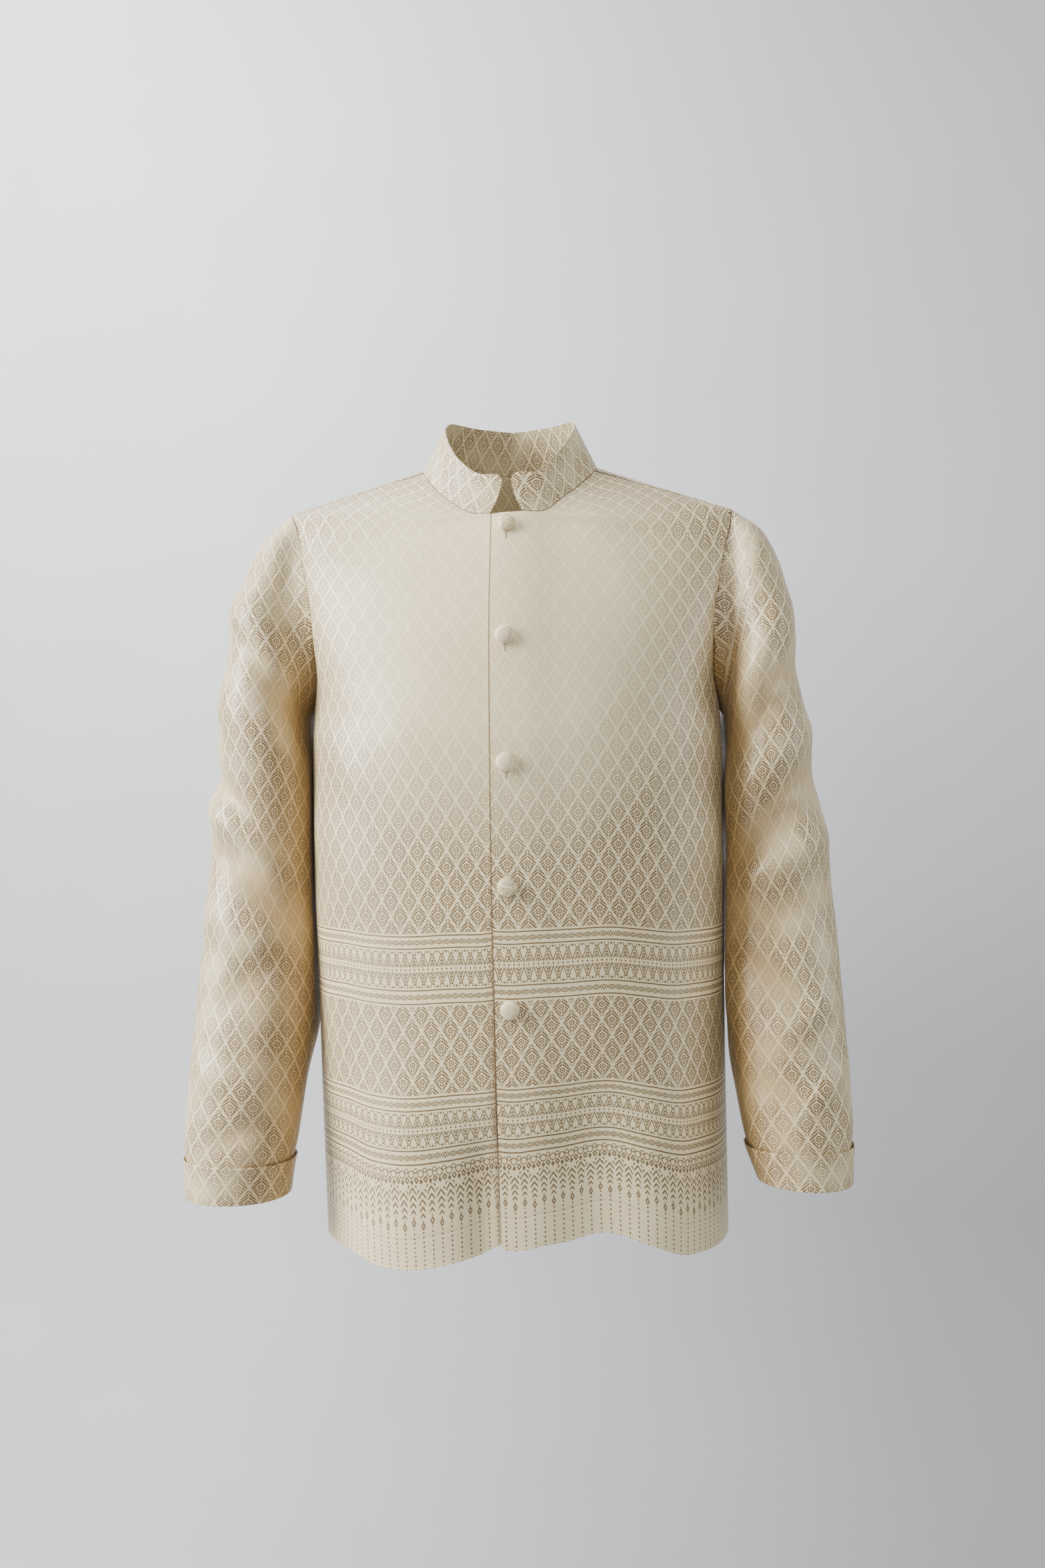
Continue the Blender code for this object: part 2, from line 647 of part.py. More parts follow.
def button(name, height, collection, material):
    """Covered domed button on a short shank, standing on the top front at its centre line."""
    grid = front_grid(1)[0][: FIRST_NECK_ROW]
    middle = LAP / (2 * LAP + 4 * MM)
    line = grid[:, 0] * (1 - middle) + grid[:, 1] * middle
    row = int(np.clip(np.searchsorted(line[:, 2], height) - 1, 0, len(line) - 2))
    share = (height - line[row, 2]) / (line[row + 1, 2] - line[row, 2])
    spot = line[row] * (1 - share) + line[row + 1] * share
    outward = Vector(unit(np.cross(grid[row, 1] - grid[row, 0], line[row + 1] - line[row])))
    foot = Vector(spot) + outward * SEAM_GAP
    profile = [(0, 0), (SHANK_RADIUS, 0), (SHANK_RADIUS, SHANK_HEIGHT)]
    profile.append((BUTTON_RADIUS - 0.8 * MM, SHANK_HEIGHT))
    for step in range(6):
        angle = math.pi / 2 * step / 6
        reach = BUTTON_RADIUS * math.cos(angle) ** 0.8
        profile.append((reach, SHANK_HEIGHT + BUTTON_EDGE + BUTTON_DOME * math.sin(angle)))
    profile.append((0, SHANK_HEIGHT + BUTTON_EDGE + BUTTON_DOME))
    work = bmesh.new()
    corners = [work.verts.new((radius, 0, rise_)) for radius, rise_ in profile]
    edges = [work.edges.new(pair) for pair in zip(corners, corners[1:])]
    bmesh.ops.spin(
        work,
        geom=corners + edges,
        axis=(0, 0, 1),
        cent=(0, 0, 0),
        angle=math.tau,
        steps=BUTTON_SIDES,
        use_merge=True,
    )
    bmesh.ops.remove_doubles(work, verts=work.verts, dist=1e-6)
    bmesh.ops.recalc_face_normals(work, faces=work.faces)
    data = bpy.data.meshes.new(name)
    work.to_mesh(data)
    work.free()
    data.materials.append(material)
    for polygon in data.polygons:
        polygon.use_smooth = True
    item = bpy.data.objects.new(name, data)
    item.rotation_euler = outward.to_track_quat("Z", "Y").to_euler()
    item.location = foot
    collection.objects.link(item)
    return item


shirt = bpy.data.collections.new("band_collar_shirt")
bpy.context.scene.collection.children.link(shirt)
BROCADE = (0.66, 0.58, 0.42)
ROUGH = 0.45
front_panel("front_left", 1, shirt, material_of("brocade_front_left", BROCADE, ROUGH))
front_panel("front_right", -1, shirt, material_of("brocade_front_right", BROCADE, ROUGH))
back_panel("back", shirt, material_of("brocade_back", BROCADE, ROUGH))
sleeve_tube("sleeve_left", 1, shirt, material_of("brocade_sleeve_left", BROCADE, ROUGH))
sleeve_tube("sleeve_right", -1, shirt, material_of("brocade_sleeve_right", BROCADE, ROUGH))
cuff_tube("cuff_left", 1, shirt, material_of("brocade_cuff_left", BROCADE, ROUGH))
cuff_tube("cuff_right", -1, shirt, material_of("brocade_cuff_right", BROCADE, ROUGH))
collar_band("collar", shirt, material_of("brocade_collar", BROCADE, ROUGH))
for number, level in enumerate(BUTTON_HEIGHTS, start=1):
    button(f"button_{number}", level, shirt, material_of(f"button_cloth_{number}", BROCADE, ROUGH))
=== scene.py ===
"""Band-collar brocade shirt: the finished cloth, its woven pattern, buttons and a plain studio."""

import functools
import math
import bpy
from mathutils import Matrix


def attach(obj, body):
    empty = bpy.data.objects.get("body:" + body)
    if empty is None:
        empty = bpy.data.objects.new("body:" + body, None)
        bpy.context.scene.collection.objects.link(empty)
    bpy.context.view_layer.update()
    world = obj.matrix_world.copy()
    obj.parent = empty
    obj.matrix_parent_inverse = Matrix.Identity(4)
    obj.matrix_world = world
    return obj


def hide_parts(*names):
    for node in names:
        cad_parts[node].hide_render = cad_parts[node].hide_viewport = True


bl_info = {
    "name": "Brocade Shirt",
    "version": (1, 0, 0),
    "blender": (4, 5, 0),
    "location": "3D View > Sidebar > Brocade Shirt",
    "description": "Builds the cloth, buttons and studio of a band-collar shirt",
    "category": "Object",
}

import bmesh
import bpy
import numpy as np
from mathutils import Vector

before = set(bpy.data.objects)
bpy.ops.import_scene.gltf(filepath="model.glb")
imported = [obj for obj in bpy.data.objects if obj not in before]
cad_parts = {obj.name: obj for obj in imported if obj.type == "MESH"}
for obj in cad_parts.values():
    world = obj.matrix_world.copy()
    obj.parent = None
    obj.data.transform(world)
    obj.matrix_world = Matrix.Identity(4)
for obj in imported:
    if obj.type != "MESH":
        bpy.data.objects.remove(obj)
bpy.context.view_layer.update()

# Sizes in metres, and in millimetres where a table or the woven chart takes them.
MM = 0.001
WALL = 1.2 * MM
COLLAR_WALL = 1.7 * MM
SHARP_ANGLE = math.radians(50)
SAME_PLACE = 1e-9

# Seams, and the lap of the left front over the right one.
SEAM_GAP = 0.3 * MM
SEAM_OPEN = 0.5 * MM
SEAM_DIP = 0.9 * MM
SEAM_RADIUS = SEAM_OPEN * 1.1
COLLAR_SEAM_RADIUS = 0.9 * MM
COLLAR_SEAM_PROUD = 0.1 * MM
LAP = 13.5 * MM
LAP_LIFT, LAP_LIFT_ENDS = 2.3 * MM, (LAP + 3 * MM, 50 * MM)
UNDER_HEM_RISE, UNDER_HEM_RISE_ENDS = 5 * MM, (10 * MM, 34 * MM)

# Rounding of the cut and folded edges, as a share of the wall.
EDGE_ROUNDING, CUFF_ROUNDING, COLLAR_ROUNDING = 0.3, 0.4, 0.35

# Collar: where it ends, its rounded corner, its ends drawn together, and the line it leans toward.
COLLAR_END = 15.5 * MM
COLLAR_CORNER = 10 * MM
COLLAR_SWEEP, COLLAR_SWEEP_REACH = 10 * MM, 35 * MM
COLLAR_CLOSE_STEPS = (0.1, 0.25, 0.45, 0.7)
NECK_MIDDLE = np.array([-6 * MM, -4 * MM, 0])
NAPE_EASING, NAPE_EASED = 10, (30 * MM, 55 * MM)

# Sleeves and cuffs. The tuck, in millimetres, draws the inner back of a sleeve toward the body.
SLEEVE_CLEARANCE, CLEARANCE_ROUND = 2.2 * MM, 3 * MM
CLEAR_FROM, CLEAR_FULL = 2 * MM, 6 * MM
SLEEVE_TUCK, TUCK_STARTS, TUCK_ENDS, HALF_TUCK_BELOW = 18, -90, -570, 2.05
HOLLOW_DEPTH = 5 * MM
CUFF_STAND = 1.6 * MM
CUFF_START = 0.942
RING_SPACING = 0.95

# Buttons and their worked slits.
BUTTON_RADIUS = 8.7 * MM
BUTTON_SHANK = BUTTON_RADIUS * 0.42
BUTTON_DOME, BUTTON_FULLNESS = 4.5 * MM, 0.8
BUTTON_EDGE = 1.4 * MM
BUTTON_LIFT = 1.3 * MM
BUTTON_HEIGHTS = (-71 * MM, -178 * MM, -290 * MM, -399 * MM, -507 * MM)
GATHERS, GATHER_DEPTH, GATHER_TURN = 9, 0.012, 1.7
BUTTON_TURN = math.radians(17)
BUTTON_WEAVE, BUTTON_WEAVE_STEP = (0, 400), (31, 11)
SLIT_HALF_LENGTH, SLIT_HALF_WIDTH, SLIT_THREAD = 10.5 * MM, 0.75 * MM, 0.5 * MM
SLIT_DROP, SLIT_PROUD = 4 * MM, 0.15 * MM
SLIT_ENDS, SLIT_STITCH, SLIT_FLATNESS = 0.5, (0.82, 1.0), 0.7

# The woven rows follow the hem's wave less with height: share, from, over, and how far they are raised.
BAND_EASE, BAND_EASE_FROM, BAND_EASE_OVER, BAND_RAISE = 0.8, 35, 110, 9

# Rows and columns of the cloth grids.
PANEL_COLUMNS = 52
LAP_COLUMNS = 8
ROWS_TO_UNDERARM = 66
ROWS_TO_NECK = 30
ROWS_TO_SHOULDER = 32
ROWS_TO_NAPE = 32
ROWS_TO_BACK_UNDERARM = 26
ROWS_TO_BACK_HEM = 60
SLEEVE_ROWS = 140
CUFF_ROWS = 14
COLLAR_ROWS = 16
BUTTON_SIDES, BUTTON_ROWS = 64, 12
SEAM_SIDES = 6
SLIT_STEPS, SLIT_SIDES = 44, 8

# Folds: how they rise and end along their length, how near the side they reach, and on a sleeve the
# facing at which they are whole and the share over which they begin.
FOLD_RISES, FOLD_ENDS, FOLDS_REACH = (-0.12, 0.25), (0.6, 1.15), 0.93
FOLDS_FACING, FOLDS_START = 0.35, 0.12

# Squareness of the body below the armholes, and the share of its first column past the lap.
SQUARENESS = 2.35
FIRST_SHARE = (LAP + 4 * MM) / (200 * MM)

# Body sections from the front hem up over the shoulder and down to the back hem:
# centre edge x, y, z, side edge x, y, z, squareness of the curve between them.
BODY = (
    # name               cx    cy    cz     sx    sy    sz    n
    ("front hem", 0, -139, -723, 195, 0, -741, 2.35),
    ("front low", 0, -142, -613, 196, 0, -631, 2.35),
    ("front hip", 0, -144, -493, 197, 0, -510, 2.35),
    ("front waist", 0, -146, -373, 199, 0, -388, 2.35),
    ("front chest", 0, -144, -268, 199, 0, -280, 2.35),
    ("front underarm", 0, -138, -214, 197, 0, -236, 2.35),
    ("armhole low", 0, -130, -170, 189, -40, -198, 2.2),
    ("armhole middle", 0, -117, -132, 190, -57, -158, 2.0),
    ("armhole high", 0, -99, -92, 196, -52, -118, 1.75),
    ("neck front", 0, -81, -58, 203, -38, -85, 1.55),
    ("neck low", 28, -77, -57.5, 208, -27, -66, 1.4),
    ("neck middle", 55, -60, -40, 212, -18, -52, 1.3),
    ("neck side", 75, -36, -19, 215, -11, -45, 1.2),
    ("shoulder seam", 84, -14, -5, 216, -7, -43, 1.08),
    ("shoulder ridge", 85, 6, 2, 216, 5, -41, 1.05),
    ("neck back side", 79, 29, 7, 214, 15, -45, 1.2),
    ("neck back", 60, 52, 9, 211, 27, -55, 1.4),
    ("neck back low", 32, 66, 9, 205, 42, -76, 1.6),
    ("nape", 0, 72, 8, 200, 54, -105, 1.8),
    ("back shoulder", 0, 100, -45, 196, 62, -140, 2.0),
    ("back armhole", 0, 121, -110, 190, 50, -188, 2.2),
    ("back underarm", 0, 131, -180, 197, 0, -236, 2.35),
    ("back chest", 0, 134, -250, 199, 0, -280, 2.35),
    ("back waist", 0, 131, -360, 199, 0, -388, 2.35),
    ("back hip", 0, 128, -490, 197, 0, -510, 2.35),
    ("back low", 0, 129, -615, 196, 0, -631, 2.35),
    ("back hem", 0, 131, -732, 195, 0, -741, 2.35),
)
FRONT_UNDERARM, NECK_FRONT, SHOULDER, NAPE, BACK_UNDERARM = 5, 9, 13, 18, 21

# Sideways lean of the body's centre line: height, shift.
LEAN = (
    (-760, 14),
    (-723, 13),
    (-580, 9),
    (-400, 5),
    (-250, 3),
    (-100, 0),
    (-60, -1),
    (-40, -5),
    (0, -4),
    (60, -6),
)

# Rise of the cloth by share of the half width, at the hem and at band height: share, hem, band.
RISE_LEFT = (
    (0.0, 0, 0),
    (0.2, 10, 6),
    (0.44, 22, 13),
    (0.6, 14, 13),
    (0.77, 3, 12),
    (0.9, 3, 11),
    (1.0, 6, 10),
)
RISE_RIGHT = (
    (0.0, 3, 0),
    (0.15, -3, 0),
    (0.3, -8, -1),
    (0.5, -13, -2),
    (0.65, -11, -2),
    (0.8, -3, -1),
    (1.0, 0, 0),
)
RISE_HEM, RISE_BAND, RISE_TOP = -723 * MM, -440 * MM, -250 * MM

# Soft folds of the body: from x, z to x, z, half width, height (a trough is negative).
FOLDS_FRONT_LEFT = (
    (84, -760, 78, -560, 34, -8),
    (150, -760, 140, -540, 34, 9),
    (186, -250, 120, -330, 16, 2.5),
    (188, -232, 96, -262, 12, -2),
    (190, -330, 130, -420, 22, 2.5),
    (60, -60, 150, -150, 26, 1.5),
)
FOLDS_FRONT_RIGHT = (
    (-4, -760, -6, -600, 34, -7),
    (-14, -765, -16, -615, 15, -6),
    (-95, -760, -88, -540, 42, 8),
    (-165, -760, -160, -600, 24, -4),
    (-186, -250, -118, -325, 16, 2.5),
    (-188, -232, -100, -262, 12, -2),
    (-185, -330, -120, -430, 22, 2.5),
    (-60, -60, -150, -150, 26, 1.5),
)
FOLDS_BACK = (
    (-60, -760, -52, -420, 40, 7),
    (0, -760, 4, -380, 34, -6),
    (75, -760, 60, -440, 40, 8),
    (150, -760, 146, -560, 30, -5),
    (-150, -760, -150, -600, 30, -5),
    (186, -250, 90, -330, 18, 3),
    (-186, -250, -96, -325, 18, 3),
    (120, -90, 40, -150, 26, 2),
    (-120, -90, -46, -150, 26, 2),
)

# Collar by share of the way from a front end to the nape: share, rise, inward lean.
COLLAR = (
    (0.0, 39, 11),
    (0.15, 40, 13),
    (0.3, 41, 17),
    (0.45, 43, 21),
    (0.6, 44, 23),
    (0.8, 43, 17),
    (1.0, 42, 13),
)

# Sleeve sections below the armhole: outer x, z, inner x, z, middle y, depth, squareness.
SLEEVE_LEFT = (
    (239, -61, 203, -243, 2, 134, 2.0),
    (259, -100, 203, -254, 0, 146, 2.0),
    (272, -165, 202, -272, -2, 150, 2.1),
    (280, -240, 198, -318, -2, 146, 2.2),
    (291, -300, 197, -372, -4, 138, 2.2),
    (304, -385, 197, -435, -12, 132, 2.2),
    (311, -480, 199, -500, -28, 124, 2.2),
    (316, -560, 208, -558, -44, 116, 2.1),
    (319, -625, 218, -628, -56, 106, 2.1),
    (317, -646, 223, -646, -59, 99, 2.1),
    (317, -675, 232, -673, -62, 95, 2.1),
)
SLEEVE_RIGHT = (
    (-246, -66, -197, -243, 2, 134, 2.0),
    (-266, -106, -197, -254, 0, 146, 2.0),
    (-281, -180, -196, -272, -2, 150, 2.1),
    (-291, -265, -188, -322, -2, 146, 2.2),
    (-296, -345, -187, -384, -4, 138, 2.2),
    (-300, -430, -187, -450, -14, 132, 2.2),
    (-305, -520, -189, -525, -32, 124, 2.2),
    (-309, -595, -197, -592, -46, 116, 2.1),
    (-310, -650, -204, -650, -57, 107, 2.1),
    (-307, -670, -208, -670, -60, 100, 2.1),
    (-307, -698, -210, -696, -62, 97, 2.1),
)

# Sleeve folds seen from the front: from x, z to x, z, half width, height.
SLEEVE_FOLDS_LEFT = (
    (214, -70, 203, -205, 9, -3.2),
    (262, -128, 206, -252, 15, 7),
    (280, -180, 206, -286, 14, -7.5),
    (292, -238, 206, -336, 18, 7),
    (292, -292, 206, -388, 17, -10),
    (302, -350, 212, -404, 16, 6.5),
    (306, -400, 214, -452, 20, -4),
    (216, -463, 286, -520, 11, -5),
    (300, -500, 236, -545, 14, 4.5),
    (226, -575, 300, -616, 14, -4.2),
    (312, -560, 258, -616, 12, 3.6),
)
SLEEVE_FOLDS_RIGHT = (
    (-277, -122, -195, -236, 18, 8),
    (-262, -158, -190, -262, 14, -8.5),
    (-240, -80, -206, -170, 12, -3.2),
    (-286, -215, -206, -296, 20, 6),
    (-302, -288, -240, -352, 11, -8),
    (-300, -318, -202, -402, 16, 8),
    (-282, -366, -194, -438, 18, -9.5),
    (-296, -420, -206, -484, 20, 5),
    (-206, -462, -286, -532, 16, -3.6),
    (-300, -570, -216, -612, 15, 4.4),
    (-218, -622, -292, -648, 12, -3.4),
)

# Axis of each sleeve from its head to its end, and its mean half width along it.
SLEEVE_AXIS_LEFT = ((238, 0, -60), (274, -60, -675))
SLEEVE_AXIS_RIGHT = ((-234, 0, -60), (-258, -60, -698))
SLEEVE_REACH = ((0.0, 0.2, 0.4, 0.62), (0.064, 0.06, 0.054, 0.045))

# Soft lights: name, place, aim, width, height, power, colour.
LIGHTS = (
    ("key_window", (-2.4, -0.95, 0.85), (0, 0, -0.25), 1.3, 2.2, 222, (1.0, 0.99, 0.97)),
    ("front_soft", (0.5, -2.9, 0.5), (0, 0, -0.3), 1.8, 1.6, 26, (1.0, 0.99, 0.97)),
    ("top", (-0.5, -0.2, 2.3), (0, 0.2, -0.3), 2.2, 1.4, 34, (0.98, 0.99, 1.0)),
    ("right_fill", (1.9, -0.35, 0.15), (0.2, 0, -0.35), 1.0, 1.6, 17, (1.0, 0.99, 0.96)),
    ("wall_wash", (-1.7, 0.9, 1.9), (-0.6, 2.4, 0.5), 1.6, 1.6, 72, (0.98, 0.99, 1.0)),
)

# Backdrop in metres: floor, wall, the bend between them, front edge, top and half width.
FLOOR, WALL_AT, BEND, FRONT_EDGE, WALL_TOP, HALF_WIDTH = -1.9, 2.4, 0.9, -3.2, 3.4, 4.5
BEND_STEPS = 24

# Camera: distance, how far it stands beside its line of aim, and height.
CAMERA_REACH, CAMERA_SHIFT, CAMERA_HEIGHT = 1.4, (0.008, 0.0005), -0.309


def spline(knots, values, t, corners=None):
    """Smooth curve through rows of values that never swings past them, with chosen values turning sharply."""
    knots = np.asarray(knots, float)
    values = np.asarray(values, float)
    t = np.clip(np.asarray(t, float), knots[0], knots[-1])
    spans = np.diff(knots).reshape((-1,) + (1,) * (values.ndim - 1))
    rates = np.diff(values, axis=0) / spans
    before = np.concatenate([rates[:1], rates])
    after = np.concatenate([rates, rates[-1:]])
    same_way = before * after > 0
    slopes = np.where(same_way, 2 * before * after / np.where(same_way, before + after, 1), 0)
    arriving = slopes if corners is None else np.where(corners, before, slopes)
    leaving = slopes if corners is None else np.where(corners, after, slopes)
    k = np.clip(np.searchsorted(knots, t, side="right") - 1, 0, len(knots) - 2)
    shape = t.shape + (1,) * (values.ndim - 1)
    step = (knots[k + 1] - knots[k]).reshape(shape)
    w = ((t - knots[k]).reshape(shape)) / step
    low = (2 * w**3 - 3 * w**2 + 1) * values[k]
    high = (3 * w**2 - 2 * w**3) * values[k + 1]
    turn_out = (w**3 - 2 * w**2 + w) * step * leaving[k]
    turn_in = (w**3 - w**2) * step * arriving[k + 1]
    return low + high + turn_out + turn_in


def unit(vectors):
    return vectors / np.maximum(np.linalg.norm(vectors, axis=-1, keepdims=True), 1e-12)


def smooth(value, low, high):
    w = np.clip((value - low) / (high - low), 0, 1)
    return w * w * (3 - 2 * w)


def lean(z):
    table = np.array(LEAN, float) * MM
    return np.interp(z, table[:, 0], table[:, 1])


BODY_SIZES = np.array([row[1:] for row in BODY], float)
BODY_SIZES[:, :6] *= MM
MIDDLES = (BODY_SIZES[:, :3] + BODY_SIZES[:, 3:6]) / 2
STEPS = np.linalg.norm(np.diff(MIDDLES, axis=0), axis=1)
BODY_KNOTS = np.concatenate([[0], np.cumsum(STEPS)])
BODY_CORNERS = np.zeros(BODY_SIZES.shape, bool)
BODY_CORNERS[[NECK_FRONT, NAPE], :3] = True


def section(t):
    """Sizes of the body section at a place along the table."""
    return spline(BODY_KNOTS, BODY_SIZES, t, BODY_CORNERS)


def rise(side, share, z, front):
    """Vertical shift of the cloth at the hem and the bands."""
    table = np.array(RISE_LEFT if side > 0 else RISE_RIGHT, float)
    hem = spline(table[:, 0], table[:, 1], share) * MM
    band = spline(table[:, 0], table[:, 2], share) * MM
    side_hem = table[-1, 1] * MM * share**3
    side_band = table[-1, 2] * MM * share**3
    hem = np.where(front, hem, side_hem)
    band = np.where(front, band, side_band)
    low = smooth(z, RISE_HEM, RISE_BAND)
    return (hem * (1 - low) + band * low) * (1 - smooth(z, RISE_BAND, RISE_TOP))


def fold_height(table, x, z):
    """Height of the soft folds at points seen from the front or the back."""
    total = np.zeros(np.broadcast(x, z).shape)
    for x0, z0, x1, z1, width, height in table:
        ax, az, bx, bz = x0 * MM, z0 * MM, x1 * MM, z1 * MM
        length = math.hypot(bx - ax, bz - az)
        ux, uz = (bx - ax) / length, (bz - az) / length
        along = ((x - ax) * ux + (z - az) * uz) / length
        off = (x - ax) * uz - (z - az) * ux
        fade = smooth(along, *FOLD_RISES) * (1 - smooth(along, *FOLD_ENDS))
        total = total + height * MM * np.exp(-((off / (width * MM)) ** 2)) * fade
    return total


def body_base(side, across, t):
    """Body cloth before its folds: across from 0 at the centre to 1 at the side, t along the sections."""
    row = section(t)
    cx, cy, cz, sx, sy, sz, n = np.moveaxis(row, -1, 0)
    share = np.minimum(np.abs(across), 1)
    bulge = 1 - (1 - share**n) ** (1 / n)
    x = (cx + (sx - cx) * share) * np.where(across < 0, -1, 1)
    y = cy + (sy - cy) * bulge
    z = cz + (sz - cz) * share
    z = z + rise(side, share, z, t <= BODY_KNOTS[SHOULDER])
    return np.stack([side * x + lean(z), y, z], axis=-1)


def normal_of(surface, a, b, flip):
    """Outward direction of a surface at its parameters, from small steps to either side."""
    da, db = 2e-3, 1e-3
    far = np.minimum(a + da, 1)
    near = np.where(a < 0, far - 2 * da, np.maximum(far - 2 * da, 0))
    along = surface(far, b) - surface(near, b)
    up = surface(a, b + db) - surface(a, b - db)
    return unit(np.cross(along, up)) * flip


def body(side, across, t):
    """Body cloth with its folds."""
    across, t = np.broadcast_arrays(np.asarray(across, float), np.asarray(t, float))
    base = body_base(side, across, t)
    outward = normal_of(lambda a, b: body_base(side, a, b), across, t, side)
    front = t <= BODY_KNOTS[SHOULDER]
    folds_front = FOLDS_FRONT_LEFT if side > 0 else FOLDS_FRONT_RIGHT
    shift_front = fold_height(folds_front, base[..., 0], base[..., 2])
    shift_back = fold_height(FOLDS_BACK, base[..., 0], base[..., 2])
    edge = 1 - smooth(np.abs(across), FOLDS_REACH, 1)
    shift = np.where(front, shift_front, shift_back) * edge
    return base + outward * shift[..., None]


def body_normal(side, across, t):
    return normal_of(lambda a, b: body(side, a, b), across, t, side)


def lap_lift(side, points):
    """The left front lies over the right one near the centre line."""
    if side < 0:
        return np.zeros(points.shape[:-1])
    off = points[..., 0] - lean(points[..., 2])
    return LAP_LIFT * (1 - smooth(off, *LAP_LIFT_ENDS))


def shares(count):
    """Shares across a panel: the centre, a line just past the lap, then closer toward the side."""
    first = math.asin(FIRST_SHARE ** (SQUARENESS / 2))
    angle = np.linspace(first, math.pi / 2, count)
    return np.concatenate([[0], np.sin(angle) ** (2 / SQUARENESS)])


def places(*spans):
    """Rows between body sections: the first section, then pairs of a section and the rows up to it."""
    values = [np.array([BODY_KNOTS[spans[0]]])]
    last = spans[0]
    for section, count in spans[1:]:
        values.append(np.linspace(BODY_KNOTS[last], BODY_KNOTS[section], count + 1)[1:])
        last = section
    return np.concatenate(values)


NECK_EDGE = BODY_KNOTS[NECK_FRONT]
FRONT_PLACES = places(
    0, (FRONT_UNDERARM, ROWS_TO_UNDERARM), (NECK_FRONT, ROWS_TO_NECK), (SHOULDER, ROWS_TO_SHOULDER)
)
FIRST_NECK_ROW = ROWS_TO_UNDERARM + ROWS_TO_NECK + 1
NECK_STEPS = np.linspace(NECK_EDGE, BODY_KNOTS[NECK_FRONT + 1], 50)
NECK_WIDTHS = section(NECK_STEPS)[:, 0]
COLLAR_START = np.interp(COLLAR_END, NECK_WIDTHS, NECK_STEPS)
FRONT_PLACES[FIRST_NECK_ROW:] = np.linspace(COLLAR_START, BODY_KNOTS[SHOULDER], ROWS_TO_SHOULDER)
BACK_PLACES = places(
    SHOULDER,
    (NAPE, ROWS_TO_NAPE),
    (BACK_UNDERARM, ROWS_TO_BACK_UNDERARM),
    (len(BODY) - 1, ROWS_TO_BACK_HEM),
)
AROUND = ROWS_TO_NECK + ROWS_TO_SHOULDER + ROWS_TO_NAPE + ROWS_TO_BACK_UNDERARM
ARMHOLE_SHARES = np.arange(AROUND + 1) / AROUND
ARMHOLE_BACK = BACK_PLACES[1 : ROWS_TO_NAPE + ROWS_TO_BACK_UNDERARM + 1]
ARMHOLE_PLACES = np.concatenate([FRONT_PLACES[ROWS_TO_UNDERARM:], ARMHOLE_BACK])


def armhole(side, around):
    """Edge of the body cloth at the armhole, from the underarm up the front and down the back."""
    t = np.interp(around, ARMHOLE_SHARES, ARMHOLE_PLACES)
    return body(side, np.ones(t.shape), t)


def keep_clear(side, points):
    """Moves sleeve points out of the body they hang beside."""
    x, y, z = np.moveaxis(points, -1, 0)
    rows = BODY_SIZES[: FRONT_UNDERARM + 1]
    back = BODY_SIZES[BACK_UNDERARM:][::-1]
    half = np.interp(z, rows[:, 5], rows[:, 3]) + SLEEVE_CLEARANCE
    front_depth = np.interp(z, rows[:, 2], -rows[:, 1])
    back_depth = np.interp(z, back[:, 2], back[:, 1])
    depth = np.where(y < 0, front_depth, back_depth) + SLEEVE_CLEARANCE
    limit = half * (1 - np.minimum(np.abs(y) / depth, 1) ** SQUARENESS) ** (1 / SQUARENESS)
    out = side * (x - lean(z))
    pushed = (out + limit + np.sqrt((out - limit) ** 2 + CLEARANCE_ROUND**2)) / 2
    underarm = rows[-1, 5]
    below = 1 - smooth(z, underarm - CLEAR_FULL, underarm - CLEAR_FROM)
    out = out + (pushed - out) * below
    return np.stack([side * out + lean(z), y, z], axis=-1)


def sleeve_base(side, around, t):
    """One ring of a sleeve before its folds, t from 0 at the armhole to 1 at the cuff edge."""
    angle = math.pi - math.tau * around
    rings = [armhole(side, around % 1.0)]
    for ox, oz, ix, iz, my, depth, n in SLEEVE_LEFT if side > 0 else SLEEVE_RIGHT:
        c, s = np.cos(angle), np.sin(angle)
        u = np.sign(c) * np.abs(c) ** (2 / n)
        v = np.sign(s) * np.abs(s) ** (2 / n)
        share = 0 if oz > TUCK_STARTS or oz < TUCK_ENDS else 0.5 if n < HALF_TUCK_BELOW else 1
        tucked = np.maximum(-u, 0) * np.maximum(-v, 0) * share
        x = (ox + ix) / 2 + (ox - ix) / 2 * u - side * SLEEVE_TUCK * tucked
        z = (oz + iz) / 2 + (oz - iz) / 2 * u
        y = my - depth / 2 * v
        rings.append(np.stack([x, y, z], axis=-1) * MM)
    rings = np.array(rings)
    steps = np.linalg.norm(np.diff(rings, axis=0), axis=-1).mean(axis=-1)
    knots = np.concatenate([[0], np.cumsum(steps)])
    ring = spline(knots / knots[-1], rings, np.float64(t))
    return keep_clear(side, ring) if t > 0 else ring


def ring_normal(ring, side, around, t):
    """Outward direction of a sleeve ring, from rings and points to either side."""
    da, dt = 2e-3, 4e-3
    along = ring(side, around + da, t) - ring(side, around - da, t)
    down = ring(side, around, min(t + dt, 1)) - ring(side, around, max(t - dt, 0))
    return unit(np.cross(down, along)) * side


def sleeve(side, around, t):
    base = sleeve_base(side, around, t)
    outward = ring_normal(sleeve_base, side, around, t)
    folds = SLEEVE_FOLDS_LEFT if side > 0 else SLEEVE_FOLDS_RIGHT
    facing = smooth(-outward[:, 1], -FOLDS_FACING, FOLDS_FACING)
    height = fold_height(folds, base[:, 0], base[:, 2]) * facing * smooth(np.float64(t), 0, FOLDS_START)
    return base + outward * height[:, None], height


